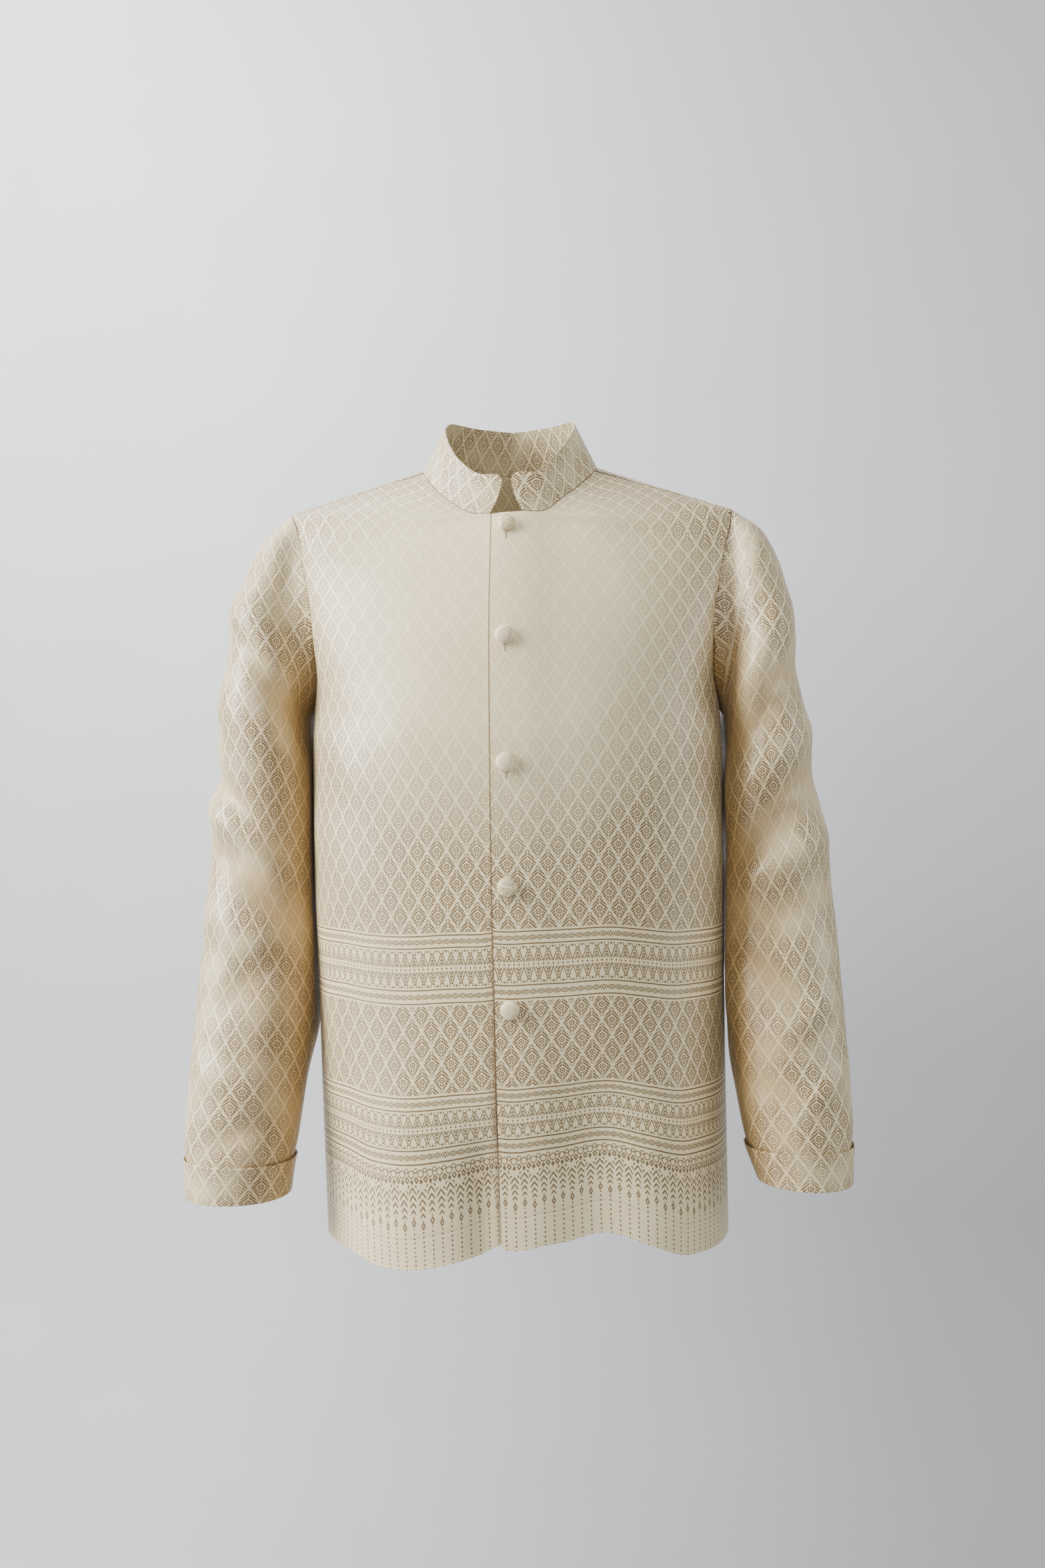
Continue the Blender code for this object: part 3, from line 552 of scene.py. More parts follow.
def outward_of(grid, closed=False):
    """Outward directions of a grid of points, from its neighbours."""
    if closed:
        wrapped = np.concatenate([grid[:, -1:], grid, grid[:, :1]], axis=1)
        along = np.gradient(wrapped, axis=1)[:, 1:-1]
    else:
        along = np.gradient(grid, axis=1)
    return unit(np.cross(along, np.gradient(grid, axis=0)))


@functools.cache
def front_grid(side):
    """Points and outward directions of one front, from past the centre line to the side."""
    across = shares(PANEL_COLUMNS)
    grid = []
    for t in FRONT_PLACES:
        row = across.copy()
        past = LAP / section(t)[3] if t <= NECK_EDGE + SAME_PLACE else 0
        row[:LAP_COLUMNS] = np.linspace(-past, across[LAP_COLUMNS], LAP_COLUMNS + 1)[:-1]
        level = np.full(row.shape, t)
        points = body(side, row, level)
        grid.append(points + body_normal(side, row, level) * lap_lift(side, points)[:, None])
    grid = np.array(grid)
    return grid, outward_of(grid) * side


def back_grid():
    """Points and directions of the back from the right side to the left, its centre line taken twice."""
    across = shares(PANEL_COLUMNS)
    halves = []
    for side in (-1, 1):
        half = np.array([body(side, across, np.full(across.shape, t)) for t in BACK_PLACES])
        halves.append((half, outward_of(half) * side))
    (right, right_out), (left, left_out) = halves
    middle = unit(right_out[:, 0] + left_out[:, 0])
    joined = BACK_PLACES >= BODY_KNOTS[NAPE] - SAME_PLACE
    right_out[joined, 0] = middle[joined]
    left_out[joined, 0] = middle[joined]
    grid = np.concatenate([right[:, ::-1], left], axis=1)
    return grid, np.concatenate([right_out[:, ::-1], left_out], axis=1)


@functools.cache
def sleeve_grid(side):
    """Points, outward directions and depth of the fold hollows of a sleeve, the hollows from 0 to 1."""
    around = np.arange(AROUND) / AROUND
    rings = [sleeve(side, around, t) for t in sleeve_rings()]
    grid = np.array([ring for ring, _ in rings])
    hollow = smooth(-np.array([height for _, height in rings]), 0, HOLLOW_DEPTH)
    return grid, outward_of(grid, closed=True) * -side, hollow


def sleeve_rings():
    """Places of the rings along a sleeve, the last ones shared with its cuff."""
    upper = np.linspace(0, 1, SLEEVE_ROWS - CUFF_ROWS + 1) ** RING_SPACING * CUFF_START
    return np.concatenate([upper, np.linspace(CUFF_START, 1, CUFF_ROWS + 1)[1:]])


def away_from(seam, beside):
    """Directions straight back from a seam line into its own cloth."""
    along = unit(np.gradient(seam, axis=0))
    back = beside - seam
    return unit(back - along * np.sum(back * along, axis=-1)[:, None])


def spread(grid):
    """Flat woven coordinates in millimetres: across from the first column, and up from the first row."""
    step = np.linalg.norm(np.diff(grid, axis=1), axis=-1)
    across = np.concatenate([np.zeros((len(grid), 1)), np.cumsum(step, axis=1)], axis=1)
    climb = np.linalg.norm(np.diff(grid, axis=0), axis=-1)
    shift = np.diff(across, axis=0)
    up = np.sqrt(np.maximum(climb**2 - shift**2, (0.5 * climb) ** 2))
    height = np.concatenate([np.zeros((1, grid.shape[1])), np.cumsum(up, axis=0)])
    return np.stack([across, height], axis=-1) / MM


def shirt_collection():
    name = "brocade_shirt"
    if name not in bpy.data.collections:
        bpy.context.scene.collection.children.link(bpy.data.collections.new(name))
    return bpy.data.collections[name]


def finished(name, data, material):
    """Object of a mesh with its faces turned outward, shaded smooth up to its edges."""
    work = bmesh.new()
    work.from_mesh(data)
    unused = [corner for corner in work.verts if not corner.link_faces]
    bmesh.ops.delete(work, geom=unused, context="VERTS")
    bmesh.ops.recalc_face_normals(work, faces=work.faces)
    for edge in work.edges:
        edge.smooth = edge.calc_face_angle(0) < SHARP_ANGLE
    work.to_mesh(data)
    work.free()
    data.materials.append(material)
    for polygon in data.polygons:
        polygon.use_smooth = True
    item = bpy.data.objects.new(name, data)
    shirt_collection().objects.link(item)
    return item


def placed(item, nodes):
    """Seats a finished piece in the model in place of its plain solids."""
    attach(item, "root")
    if nodes:
        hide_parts(*nodes)
    return item


def shell(name, outer, inner, flat, material, closed=False, slit=None, hollow=None):
    """Thin cloth between two grids, walled round every free edge.

    It carries its woven coordinates and, where given, the depth of its fold hollows. A slit leaves out
    one column of faces and joins its two sides from a row on.
    """
    rows, columns = outer.shape[:2]
    index = np.arange(rows * columns).reshape(rows, columns)
    if slit:
        column, open_rows = slit
        index[open_rows:, column + 1] = index[open_rows:, column]
    second = rows * columns
    width = flat.shape[1]
    faces, marks, edges = [], [], {}
    for i in range(rows - 1):
        for j in range(columns if closed else columns - 1):
            if slit and j == slit[0]:
                continue
            k = (j + 1) % columns
            quad = [int(n) for n in (index[i, j], index[i, k], index[i + 1, k], index[i + 1, j])]
            mark = [i * width + j, i * width + j + 1, (i + 1) * width + j + 1, (i + 1) * width + j]
            faces += [quad, [second + n for n in reversed(quad)]]
            marks += [mark, mark[::-1]]
            for n in range(4):
                m = (n + 1) % 4
                edges[quad[n], quad[m]] = (mark[n], mark[m])
    for (a, b), (mark_a, mark_b) in edges.items():
        if (b, a) not in edges:
            faces.append([b, a, second + a, second + b])
            marks.append([mark_b, mark_a, mark_a, mark_b])
    marks = np.concatenate(marks)
    data = bpy.data.meshes.new(name)
    data.from_pydata(np.concatenate([outer.reshape(-1, 3), inner.reshape(-1, 3)]).tolist(), [], faces)
    layers = {"weave": flat}
    if hollow is not None:
        level = np.concatenate([hollow, hollow[:, :1]], axis=1)
        layers["hollow"] = np.stack([level, level * 0], axis=-1)
    for layer, values in layers.items():
        values = values.reshape(-1, 2)[marks].astype(np.float32)
        data.uv_layers.new(name=layer).data.foreach_set("uv", values.ravel())
    return finished(name, data, material)


def cloth(name, node, outer, inner, flat, material, rounding, **form):
    """One cloth piece with softly rounded edges, in place of its plain solid."""
    item = shell(name, outer, inner, flat, material, **form)
    bevel = item.modifiers.new("edge", "BEVEL")
    bevel.width = rounding
    bevel.segments = 2
    bevel.limit_method = "ANGLE"
    bevel.angle_limit = SHARP_ANGLE
    return placed(item, [node])


def tube(name, rings, closed, material):
    """Thin tube through rings of points, its ends capped unless it closes on itself."""
    count, sides = rings.shape[:2]
    faces = []
    for n in range(count if closed else count - 1):
        m = (n + 1) % count
        for k in range(sides):
            j = (k + 1) % sides
            faces.append((n * sides + k, n * sides + j, m * sides + j, m * sides + k))
    if not closed:
        faces.append(tuple(range(sides)))
        faces.append(tuple((count - 1) * sides + k for k in reversed(range(sides))))
    data = bpy.data.meshes.new(name)
    data.from_pydata(rings.reshape(-1, 3).tolist(), [], faces)
    return placed(finished(name, data, material), [])


def open_seam(outer, grid, directions, edge, beside):
    """Draws an edge of a piece back from its seam and dips it inward."""
    outer[edge] += away_from(grid[edge], grid[beside]) * SEAM_OPEN
    outer[edge] -= directions[edge] * SEAM_DIP


def eased_bands(flat, hem):
    """Lets the woven rows follow the wave of the hem less with height."""
    level = np.mean([front_grid(side)[0][0, :, 2] for side in (1, -1)])
    share = BAND_EASE * (1 - np.exp(-np.maximum(flat[..., 1] - BAND_EASE_FROM, 0) / BAND_EASE_OVER))
    raised = BAND_RAISE * smooth(flat[..., 1], BAND_EASE_FROM, BAND_EASE_OVER)
    flat[..., 1] += share * (hem - level) / MM - raised


def front_panel(side, settings, material):
    """One front; the right one's chart is laid from the lap edge, and its hem rises there."""
    word = "left" if side > 0 else "right"
    grid, directions = front_grid(side)
    flat = spread(grid)
    for row, t in enumerate(FRONT_PLACES):
        if t > NECK_EDGE + SAME_PLACE:
            flat[row, :, 0] += section(t)[0] / MM
            continue
        flat[row, :, 0] -= LAP / MM
        if side < 0:
            off = lean(grid[row, :, 2]) - grid[row, :, 0]
            flat[row, :, 0] += LAP / MM - np.interp(LAP, off, flat[row, :, 0])
    flat[..., 0] *= side
    eased_bands(flat, grid[0, :, 2])
    outer = grid.copy()
    if side < 0:
        off = lean(grid[0, :, 2]) - grid[0, :, 0]
        outer[0, :, 2] += UNDER_HEM_RISE * (1 - smooth(off, *UNDER_HEM_RISE_ENDS))
    open_seam(outer, grid, directions, np.s_[-1], np.s_[-2])
    open_seam(outer, grid, directions, np.s_[:, -1], np.s_[:, -2])
    inner = outer - directions * settings.wall
    rounding = settings.wall * EDGE_ROUNDING
    item = cloth(f"{word}_front_cloth", f"front_{word}", outer, inner, flat, material, rounding)
    return item


def back_panel(settings, material):
    grid, directions = back_grid()
    half = PANEL_COLUMNS + 1
    right = spread(grid[:, :half][:, ::-1])
    left = spread(grid[:, half:])
    for part in (right, left):
        part[..., 0] += section(BACK_PLACES)[:, 0][:, None] / MM
        part[..., 1] = part[-1, :, 1][None] - part[..., 1]
    right[..., 0] *= -1
    flat = np.concatenate([right[:, ::-1], left], axis=1)
    eased_bands(flat, grid[-1, :, 2])
    outer = grid.copy()
    for part in (slice(0, half), slice(half, None)):
        open_seam(outer, grid, directions, (0, part), (1, part))
    for column, beside in ((0, 1), (-1, -2)):
        open_seam(outer, grid, directions, np.s_[:, column], np.s_[:, beside])
    inner = outer - directions * settings.wall
    rounding = settings.wall * EDGE_ROUNDING
    slit = (PANEL_COLUMNS, ROWS_TO_NAPE)
    item = cloth("back_cloth", "back", outer, inner, flat, material, rounding, slit=slit)
    return item


def sleeve_flat(grid, side):
    """Woven coordinates of a sleeve: round its own axis from its front line, and up from its end."""
    wrapped = np.concatenate([grid, grid[:, :1]], axis=1)
    top, end = (np.array(point) * MM for point in (SLEEVE_AXIS_LEFT if side > 0 else SLEEVE_AXIS_RIGHT))
    length = np.linalg.norm(end - top)
    down = (end - top) / length
    out = unit(np.cross(down, (0, 1, 0))) * side
    front = np.cross(out, down) * side
    if front[1] > 0:
        front = -front
    if out[0] * side < 0:
        out = -out
    off = wrapped - top
    depth = off @ down
    around = np.unwrap(np.arctan2(off @ out, off @ front), axis=1)
    middle = around[:, AROUND // 2][:, None]
    around = around - math.tau * np.round((middle - math.pi / 2) / math.tau)
    reach = np.interp(depth, SLEEVE_REACH[0], SLEEVE_REACH[1])
    return np.stack([around * reach, length - depth], axis=-1) / MM


def sleeve_piece(side, settings, material):
    word = "left" if side > 0 else "right"
    grid, directions, hollow = sleeve_grid(side)
    outer = grid.copy()
    open_seam(outer, grid, directions, 0, 1)
    inner = outer - directions * settings.wall
    flat = sleeve_flat(grid, side)
    rounding = settings.wall * EDGE_ROUNDING
    form = {"closed": True, "hollow": hollow}
    item = cloth(f"{word}_sleeve_cloth", f"sleeve_{word}", outer, inner, flat, material, rounding, **form)
    return item


def cuff_piece(side, settings, material):
    """Cuff turned up over the sleeve end, its free upper edge standing away a little."""
    word = "left" if side > 0 else "right"
    grid, directions, hollow = sleeve_grid(side)
    flat = sleeve_flat(grid, side)
    flat, grid, directions, hollow = (rows[-CUFF_ROWS - 1 :] for rows in (flat, grid, directions, hollow))
    stand = np.linspace(CUFF_STAND, 0, CUFF_ROWS + 1)[:, None, None] + SEAM_GAP
    inner = grid + directions * stand
    outer = inner + directions * settings.wall
    rounding = settings.wall * CUFF_ROUNDING
    form = {"closed": True, "hollow": hollow}
    item = cloth(f"{word}_cuff_cloth", f"cuff_{word}", outer, inner, flat, material, rounding, **form)
    return item


def collar_base():
    """Neckline from the left front end round the back to the right one, and the directions across it.

    Its steps are close at the ends, and it is eased across the nape.
    """
    rows = np.concatenate([FRONT_PLACES[FIRST_NECK_ROW:], BACK_PLACES[1 : ROWS_TO_NAPE + 1]])
    edge = []
    for side in (1, -1):
        points = body(side, np.zeros(rows.shape), rows)
        outward = body_normal(side, np.zeros(rows.shape) + 0.01, rows)
        points = points + outward * lap_lift(side, points)[:, None]
        close = [points[0] + (points[1] - points[0]) * share for share in COLLAR_CLOSE_STEPS]
        edge.append(np.concatenate([points[:1], close, points[1:]]))
    line = np.concatenate([edge[0], edge[1][:-1][::-1]])
    for _ in range(NAPE_EASING):
        middle = (line[:-2] + line[2:]) / 2
        hold = smooth(line[1:-1, 1], *NAPE_EASED)[:, None]
        line[1:-1] += (middle - line[1:-1]) * 0.5 * hold
    inward = NECK_MIDDLE - line
    inward[:, 2] = 0
    return line, unit(inward)


def collar_piece(settings, material):
    base, inward = collar_base()
    steps = np.linalg.norm(np.diff(base, axis=0), axis=1)
    along = np.concatenate([[0], np.cumsum(steps)])
    to_end = np.minimum(along, along[-1] - along)
    table = np.array(COLLAR, float)
    share = to_end / (along[-1] / 2)
    height, tilt = (spline(table[:, 0], table[:, column] * MM, share) for column in (1, 2))
    corner = np.maximum(COLLAR_CORNER - to_end, 0)
    drop = COLLAR_CORNER - np.sqrt(COLLAR_CORNER**2 - corner**2)
    toward_end = unit(np.gradient(base, axis=0) * np.where(along < along[-1] / 2, -1, 1)[:, None])
    toward_end *= (COLLAR_SWEEP * (1 - smooth(to_end, 0, COLLAR_SWEEP_REACH)))[:, None]
    grid, flat = [], []
    for row in range(COLLAR_ROWS + 1):
        level = row / COLLAR_ROWS * (height - drop) / height
        points = base + inward * (tilt * level)[:, None] + toward_end * (level * (2 - level))[:, None]
        points[:, 2] += height * level + SEAM_GAP
        grid.append(points)
        flat.append(np.stack([along - along[-1] / 2, height * level], axis=-1) / MM)
    grid = np.array(grid)
    inner = grid - outward_of(grid) * COLLAR_WALL
    rounding = COLLAR_WALL * COLLAR_ROUNDING
    item = cloth("collar_cloth", "collar", grid, inner, np.array(flat), material, rounding)
    return item


def seam_tube(name, points, inward, radius, material, closed=False):
    """Thin round line sunk into a seam."""
    along = np.gradient(points, axis=0)
    if closed:
        along = np.roll(points, -1, axis=0) - np.roll(points, 1, axis=0)
    across = unit(np.cross(unit(along), inward))
    rings = []
    for k in range(SEAM_SIDES):
        turn = math.tau * k / SEAM_SIDES
        rings.append(points + inward * radius * (1 + math.sin(turn)) + across * radius * math.cos(turn))
    return tube(name, np.stack(rings, axis=1), closed, material)


def seam_pieces(material):
    made = []
    around = ARMHOLE_SHARES[:-1]
    across = shares(PANEL_COLUMNS)
    shoulder = np.full(across.shape, BODY_KNOTS[SHOULDER])
    for side, word in ((1, "left"), (-1, "right")):
        t = np.interp(around, ARMHOLE_SHARES, ARMHOLE_PLACES)
        inward = -body_normal(side, np.full(t.shape, 0.999), t)
        edge = armhole(side, around)
        made.append(seam_tube(f"armhole_seam_{word}", edge, inward, SEAM_RADIUS, material, closed=True))
        line = body(side, across, shoulder)
        inward = -body_normal(side, across, shoulder)
        made.append(seam_tube(f"shoulder_seam_{word}", line, inward, SEAM_RADIUS, material))
    line, inward = collar_base()
    line -= inward * COLLAR_SEAM_PROUD
    line[:, 2] += SEAM_GAP / 2
    made.append(seam_tube("collar_seam", line, inward, COLLAR_SEAM_RADIUS, material))
    return made


def front_spot(grid, height, off=0.0):
    """Point and outward direction on the top front at a height, a distance from its centre line."""
    row = int(np.clip(np.searchsorted(grid[:, 0, 2], height) - 1, 0, len(grid) - 2))
    share = (height - grid[row, 0, 2]) / (grid[row + 1, 0, 2] - grid[row, 0, 2])
    line = grid[row] * (1 - share) + grid[row + 1] * share
    across = np.concatenate([[0], np.cumsum(np.linalg.norm(np.diff(line, axis=0), axis=1))])
    reach = LAP + off
    spot = np.array([np.interp(reach, across, line[:, axis]) for axis in range(3)])
    column = int(np.clip(np.searchsorted(across, reach) - 1, 0, len(across) - 2))
    here = grid[row, column]
    outward = np.cross(grid[row, column + 1] - here, grid[row + 1, column] - here)
    return Vector(spot), Vector(unit(outward))


def button_profile():
    """Radii and heights of a covered button, from under its shank to the top of its dome."""
    rim = BUTTON_LIFT + BUTTON_EDGE
    profile = [
        (0, 0),
        (BUTTON_SHANK, 0),
        (BUTTON_SHANK, BUTTON_LIFT),
        (BUTTON_RADIUS * 0.9, BUTTON_LIFT),
        (BUTTON_RADIUS * 0.975, BUTTON_LIFT + BUTTON_EDGE * 0.35),
    ]
    for step in range(BUTTON_ROWS):
        angle = math.pi / 2 * step / BUTTON_ROWS
        reach = BUTTON_RADIUS * math.cos(angle) ** BUTTON_FULLNESS
        profile.append((reach, rim + BUTTON_DOME * math.sin(angle)))
    return [*profile, (0, rim + BUTTON_DOME)]


def button_piece(grid, number, height, material):
    """Covered domed button, its cloth gathered under the rim and turned a little on each."""
    spot, outward = front_spot(grid, height)
    work = bmesh.new()
    flat = work.loops.layers.uv.new("weave")
    rings = []
    for radius, lift in button_profile():
        if radius == 0:
            rings.append([work.verts.new((0, 0, lift))] * BUTTON_SIDES)
            continue
        under = max(0, 1 - lift / (BUTTON_LIFT + BUTTON_EDGE))
        ring = []
        for n in range(BUTTON_SIDES):
            angle = math.tau * n / BUTTON_SIDES
            ripple = math.sin(GATHERS * angle + GATHER_TURN * number)
            reach = radius * (1 + GATHER_DEPTH * ripple * under)
            ring.append(work.verts.new((reach * math.cos(angle), reach * math.sin(angle), lift)))
        rings.append(ring)
    for low, high in zip(rings, rings[1:]):
        for n in range(BUTTON_SIDES):
            m = (n + 1) % BUTTON_SIDES
            corners = list(dict.fromkeys((low[n], low[m], high[m], high[n])))
            if len(corners) > 2:
                work.faces.new(corners)
    turn = BUTTON_TURN * number
    across, up = (place + step * number for place, step in zip(BUTTON_WEAVE, BUTTON_WEAVE_STEP))
    for face in work.faces:
        for loop in face.loops:
            x, y = loop.vert.co.x / MM, loop.vert.co.y / MM
            u = x * math.cos(turn) - y * math.sin(turn)
            v = x * math.sin(turn) + y * math.cos(turn)
            loop[flat].uv = (u + across, v + up)
    name = f"covered_button_{number}"
    data = bpy.data.meshes.new(name)
    work.to_mesh(data)
    work.free()
    item = finished(name, data, material)
    item.rotation_euler = outward.to_track_quat("Z", "Y").to_euler()
    item.location = spot + outward * SEAM_GAP
    return placed(item, [f"button_{number}"])


def buttonhole_piece(grid, number, height, material):
    """Worked slit for the button: a narrow raised ring of thread along the front edge's direction."""
    rings = []
    for n in range(SLIT_STEPS):
        angle = math.tau * n / SLIT_STEPS
        off = SLIT_HALF_WIDTH * math.copysign(abs(math.cos(angle)) ** SLIT_ENDS, math.cos(angle))
        spot, outward = front_spot(grid, height - SLIT_DROP + SLIT_HALF_LENGTH * math.sin(angle), off)
        sideways = Vector((math.copysign(1, off), 0, 0))
        rib = SLIT_THREAD * SLIT_STITCH[n % 2]
        for k in range(SLIT_SIDES):
            turn = math.tau * k / SLIT_SIDES
            shift = sideways * math.cos(turn) * rib + outward * math.sin(turn) * rib * SLIT_FLATNESS
            rings.append(spot + shift + outward * SLIT_PROUD)
    rings = np.array(rings).reshape(SLIT_STEPS, SLIT_SIDES, 3)
    return tube(f"buttonhole_{number}", rings, True, material)


# Woven chart in millimetres up from the hem: the lattice's diamond, the repeat of the bands, where the
# border, chains, bands and lattice lie, the half width of the plain lines and what is left clear beside them.
DIAMOND = (18.1, 29.0)
REPEAT, CHAIN_REPEAT = 8.7, 7.0
BORDER = (-5, 82.6)
CHAINS = ((84, 95), (129, 140), (222, 234), (271, 282))
MAIN_BANDS = ((95, 129), (234, 271))
LATTICE_BANDS = ((140, 222), (282, 1200))
LINE_HALF, CHAIN_CLEAR, BAND_CLEAR, LATTICE_CLEAR = 0.62, 2, 2.2, 2.4
SOFT = 0.35

# Stitch line of the hem, the lap crease drawn as a dark line of painted shade, where the figure fades on the
# chest as painted sheen, as a half width, a height and a half height, and by how much it fades there and,
# as painted shade, in a sleeve's fold hollows.
HEM_STITCH, STITCH_STEP = 29.0, 3.4
LAP_CREASE = -14.2
CHEST_FADE, CHEST_FADE_BY, HOLLOW_FADE_BY = (185, 570, 200), 0.78, 0.45

# Painted shade, by where it begins and over how far it deepens: round a sleeve's front and round its back
# toward the body, and down from its armpit. Beside the lap, its width, and where it begins and deepens
# toward the hem. Then how strong each tint is.
BODY_SIDE_FRONT, BODY_SIDE_BACK, ARMPIT = (12, 66), (235, 40), (590, 110)
LAP_SHADE, LAP_SHADE_TOP = 12, (360, 250)
BODY_SIDE_TINT, HOLLOW_TINT, LAP_TINT, CREASE_TINT, STITCH_TINT = 0.88, 0.38, 0.95, 0.85, 0.4


def feed(tree, entry, value):
    """Gives a socket a term, a number or a colour."""
    if isinstance(value, Term):
        tree.links.new(value.socket, entry)
    elif isinstance(value, (int, float)):
        entry.default_value = value
    else:
        entry.default_value = (*value, 1)


class Term:
    """A value in a shader's node tree, so that the chart reads as plain arithmetic."""

    def __init__(self, tree, socket):
        self.tree = tree
        self.socket = socket

    def by(self, operation, *others):
        node = self.tree.nodes.new("ShaderNodeMath")
        node.operation = operation
        for entry, value in zip(node.inputs, (self, *others)):
            feed(self.tree, entry, value)
        return Term(self.tree, node.outputs[0])

    def __add__(self, other):
        return self.by("ADD", other)

    def __sub__(self, other):
        return self.by("SUBTRACT", other)

    def __rsub__(self, other):
        return self * -1 + other

    def __mul__(self, other):
        return self.by("MULTIPLY", other)

    def __truediv__(self, other):
        return self.by("DIVIDE", other)

    def size(self):
        return self.by("ABSOLUTE")

    def clipped(self, low=0):
        return self.by("MINIMUM", 1).by("MAXIMUM", low)

    def wrapped(self, period):
        """Distance from the middle of the nearest repeat, from minus half to plus half the period."""
        return (self / period + 0.5).by("FRACT") * period - period / 2

    def length(self, other):
        return (self * self + other * other).by("SQRT")


def inside(distance, soft=SOFT):
    """1 where the distance in millimetres is below zero, with a soft edge."""
    return (distance * (-1 / soft) + 0.5).clipped()


def band(v, low, high, soft=SOFT):
    return inside((v - (low + high) / 2).size() - (high - low) / 2, soft)


def diamond(x, y, wide, high):
    """Distance-like value of a diamond of half width and half height, in millimetres."""
    return (x / wide + y.size() / high - 1) * (wide * high / (wide + high))


def hollow_diamond(x, y, outer, inner):
    """Diamond with a smaller one left open in it, each given as a half width and a half height."""
    return inside(diamond(x, y, *outer)) * (1 - inside(diamond(x, y, *inner)))


def stripes(distance, step, half, soft=SOFT):
    """Even stripes across a distance, by their step and half width."""
    return inside((distance / step).wrapped(1).size() * step - half, soft)


def together(first, *others):
    for other in others:
        first = first.by("MAXIMUM", other)
    return first


def lattice(u, v):
    """Staggered diamonds with a leafy figure in each and plain satin lines between."""
    wide, high = DIAMOND
    p = (u / wide + v / high).wrapped(1)
    q = (u / wide - v / high).wrapped(1)
    edge = p.size().by("MAXIMUM", q.size())
    x = ((p + q) * (wide / 2)).size()
    y = (p - q) * (high / 2)
    field = inside((edge - 0.442) * 15, 0.4)
    ring = x.length(y + 0.4)
    below = inside(y + 4.3)
    leaves = stripes(x * 0.9 + y, 2.8, 0.95, 0.5) * (1 - below) + stripes(y - x * 1.1, 3.0, 0.95, 0.5) * below
    rib = inside(x - 0.35, 0.4)
    clear = inside((ring - 3.1).size() - 0.45)
    leaves = leaves * (rib * -0.9 + 1) * (1 - inside(ring - 3.2)) * (1 - clear)
    heart = inside((ring - 2.1).size() - 0.55)
    eye = inside(ring - 0.9)
    return together(leaves, heart, eye) * field


def chain(u, y):
    """Row of small diamonds and crosses."""
    x = u.wrapped(CHAIN_REPEAT).size()
    stone = hollow_diamond(x, y, (2.3, 2.8), (1.0, 1.3))
    cross = inside((CHAIN_REPEAT / 2 - x - y.size() * 0.8).size() - 0.5) * inside(y.size() - 2.2)
    return together(stone, cross)


def main_band(u, y, half):
    """Facing rows of hatched triangles about a dotted line, with looped edges."""
    x = u.wrapped(REPEAT).size()
    between = REPEAT / 2 - x
    far = y.size()
    dots = inside(u.wrapped(REPEAT / 2).size().length(far) - 0.85)
    slope = (far - 2.4) * (3.9 / (half - 7.0))
    outline = inside((between - slope).size() - 0.5) * inside(far - (half - 4.6)) * inside(2.2 - far)
    spear = inside((x / 2.7 + (far - 2.6) / (half - 8.2) - 1) * 2.4) * inside(2.4 - far)
    spear = spear * stripes(far + x, 2.7, 0.9)
    loop = inside((x.length(far - (half - 3.6)) - 1.9).size() - 0.4)
    knot = inside(diamond(between, far - (half - 2.6), 1.5, 1.9))
    return together(dots, outline, spear, loop, knot)


def border(u, v):
    """Scrolls, drooping leaf pairs and spear tips that hang toward the hem, long and short in turn."""
    x = u.wrapped(REPEAT).size()
    between = REPEAT / 2 - x
    long_one = inside(u.wrapped(REPEAT * 2).size() - REPEAT / 2, 0.2)
    low = v + long_one * 3.4
    curl = inside((x.length(v - 77.2) - 2.6).size() - 0.45)
    hook = inside((between.length(v - 79.6) - 1.6).size() - 0.4)
    star = hollow_diamond(between, v - 73.0, (2.4, 3.0), (0.8, 1.1))
    bud = inside(diamond(x, v - 71.6, 1.7, 2.4))
    reach = (low - 40.0) * 0.115 + 1.1
    leaves = stripes(low + x * 1.25, 5.2, 1.0) * inside(x - reach) * band(low, 46.5, 69.5)
    tip = hollow_diamond(x, low - 42.6, (2.1, 4.0), (0.7, 1.5))
    dashes = inside(x - 0.68) * inside(v.wrapped(4.2).size() - 0.95, 0.2) * inside(low - 38.0)
    return together(curl, hook, star, bud, leaves, tip, dashes)


def chart(u, v, banded):
    """The whole woven figure, 1 where the gold weft shows and 0 on the satin ground."""
    if not banded:
        return lattice(u, v)
    figures = [border(u, v) * band(v, *BORDER)]
    for low, high in CHAINS:
        figures += [inside((v - height).size() - LINE_HALF) for height in (low, high)]
        figures.append(chain(u, v - (low + high) / 2) * band(v, low + CHAIN_CLEAR, high - CHAIN_CLEAR))
    for low, high in MAIN_BANDS:
        rows = main_band(u, v - (low + high) / 2, (high - low) / 2)
        figures.append(rows * band(v, low + BAND_CLEAR, high - BAND_CLEAR))
    diamonds = lattice(u, v - LATTICE_BANDS[0][0])
    for low, high in LATTICE_BANDS:
        figures.append(diamonds * band(v, low + LATTICE_CLEAR, high - LATTICE_CLEAR))
    return together(*figures)


def new_material(name):
    """A new material with its node tree and its shader."""
    material = bpy.data.materials.new(name)
    material.use_nodes = True
    return material, material.node_tree, material.node_tree.nodes["Principled BSDF"]


def layer_place(tree, layer):
    """Place on one of the cloth's flat layers."""
    place = tree.nodes.new("ShaderNodeUVMap")
    place.uv_map = layer
    return place.outputs["UV"]


def parts_of(tree, socket):
    """The three parts of a place."""
    split = tree.nodes.new("ShaderNodeSeparateXYZ")
    tree.links.new(socket, split.inputs[0])
    return [Term(tree, part) for part in split.outputs]


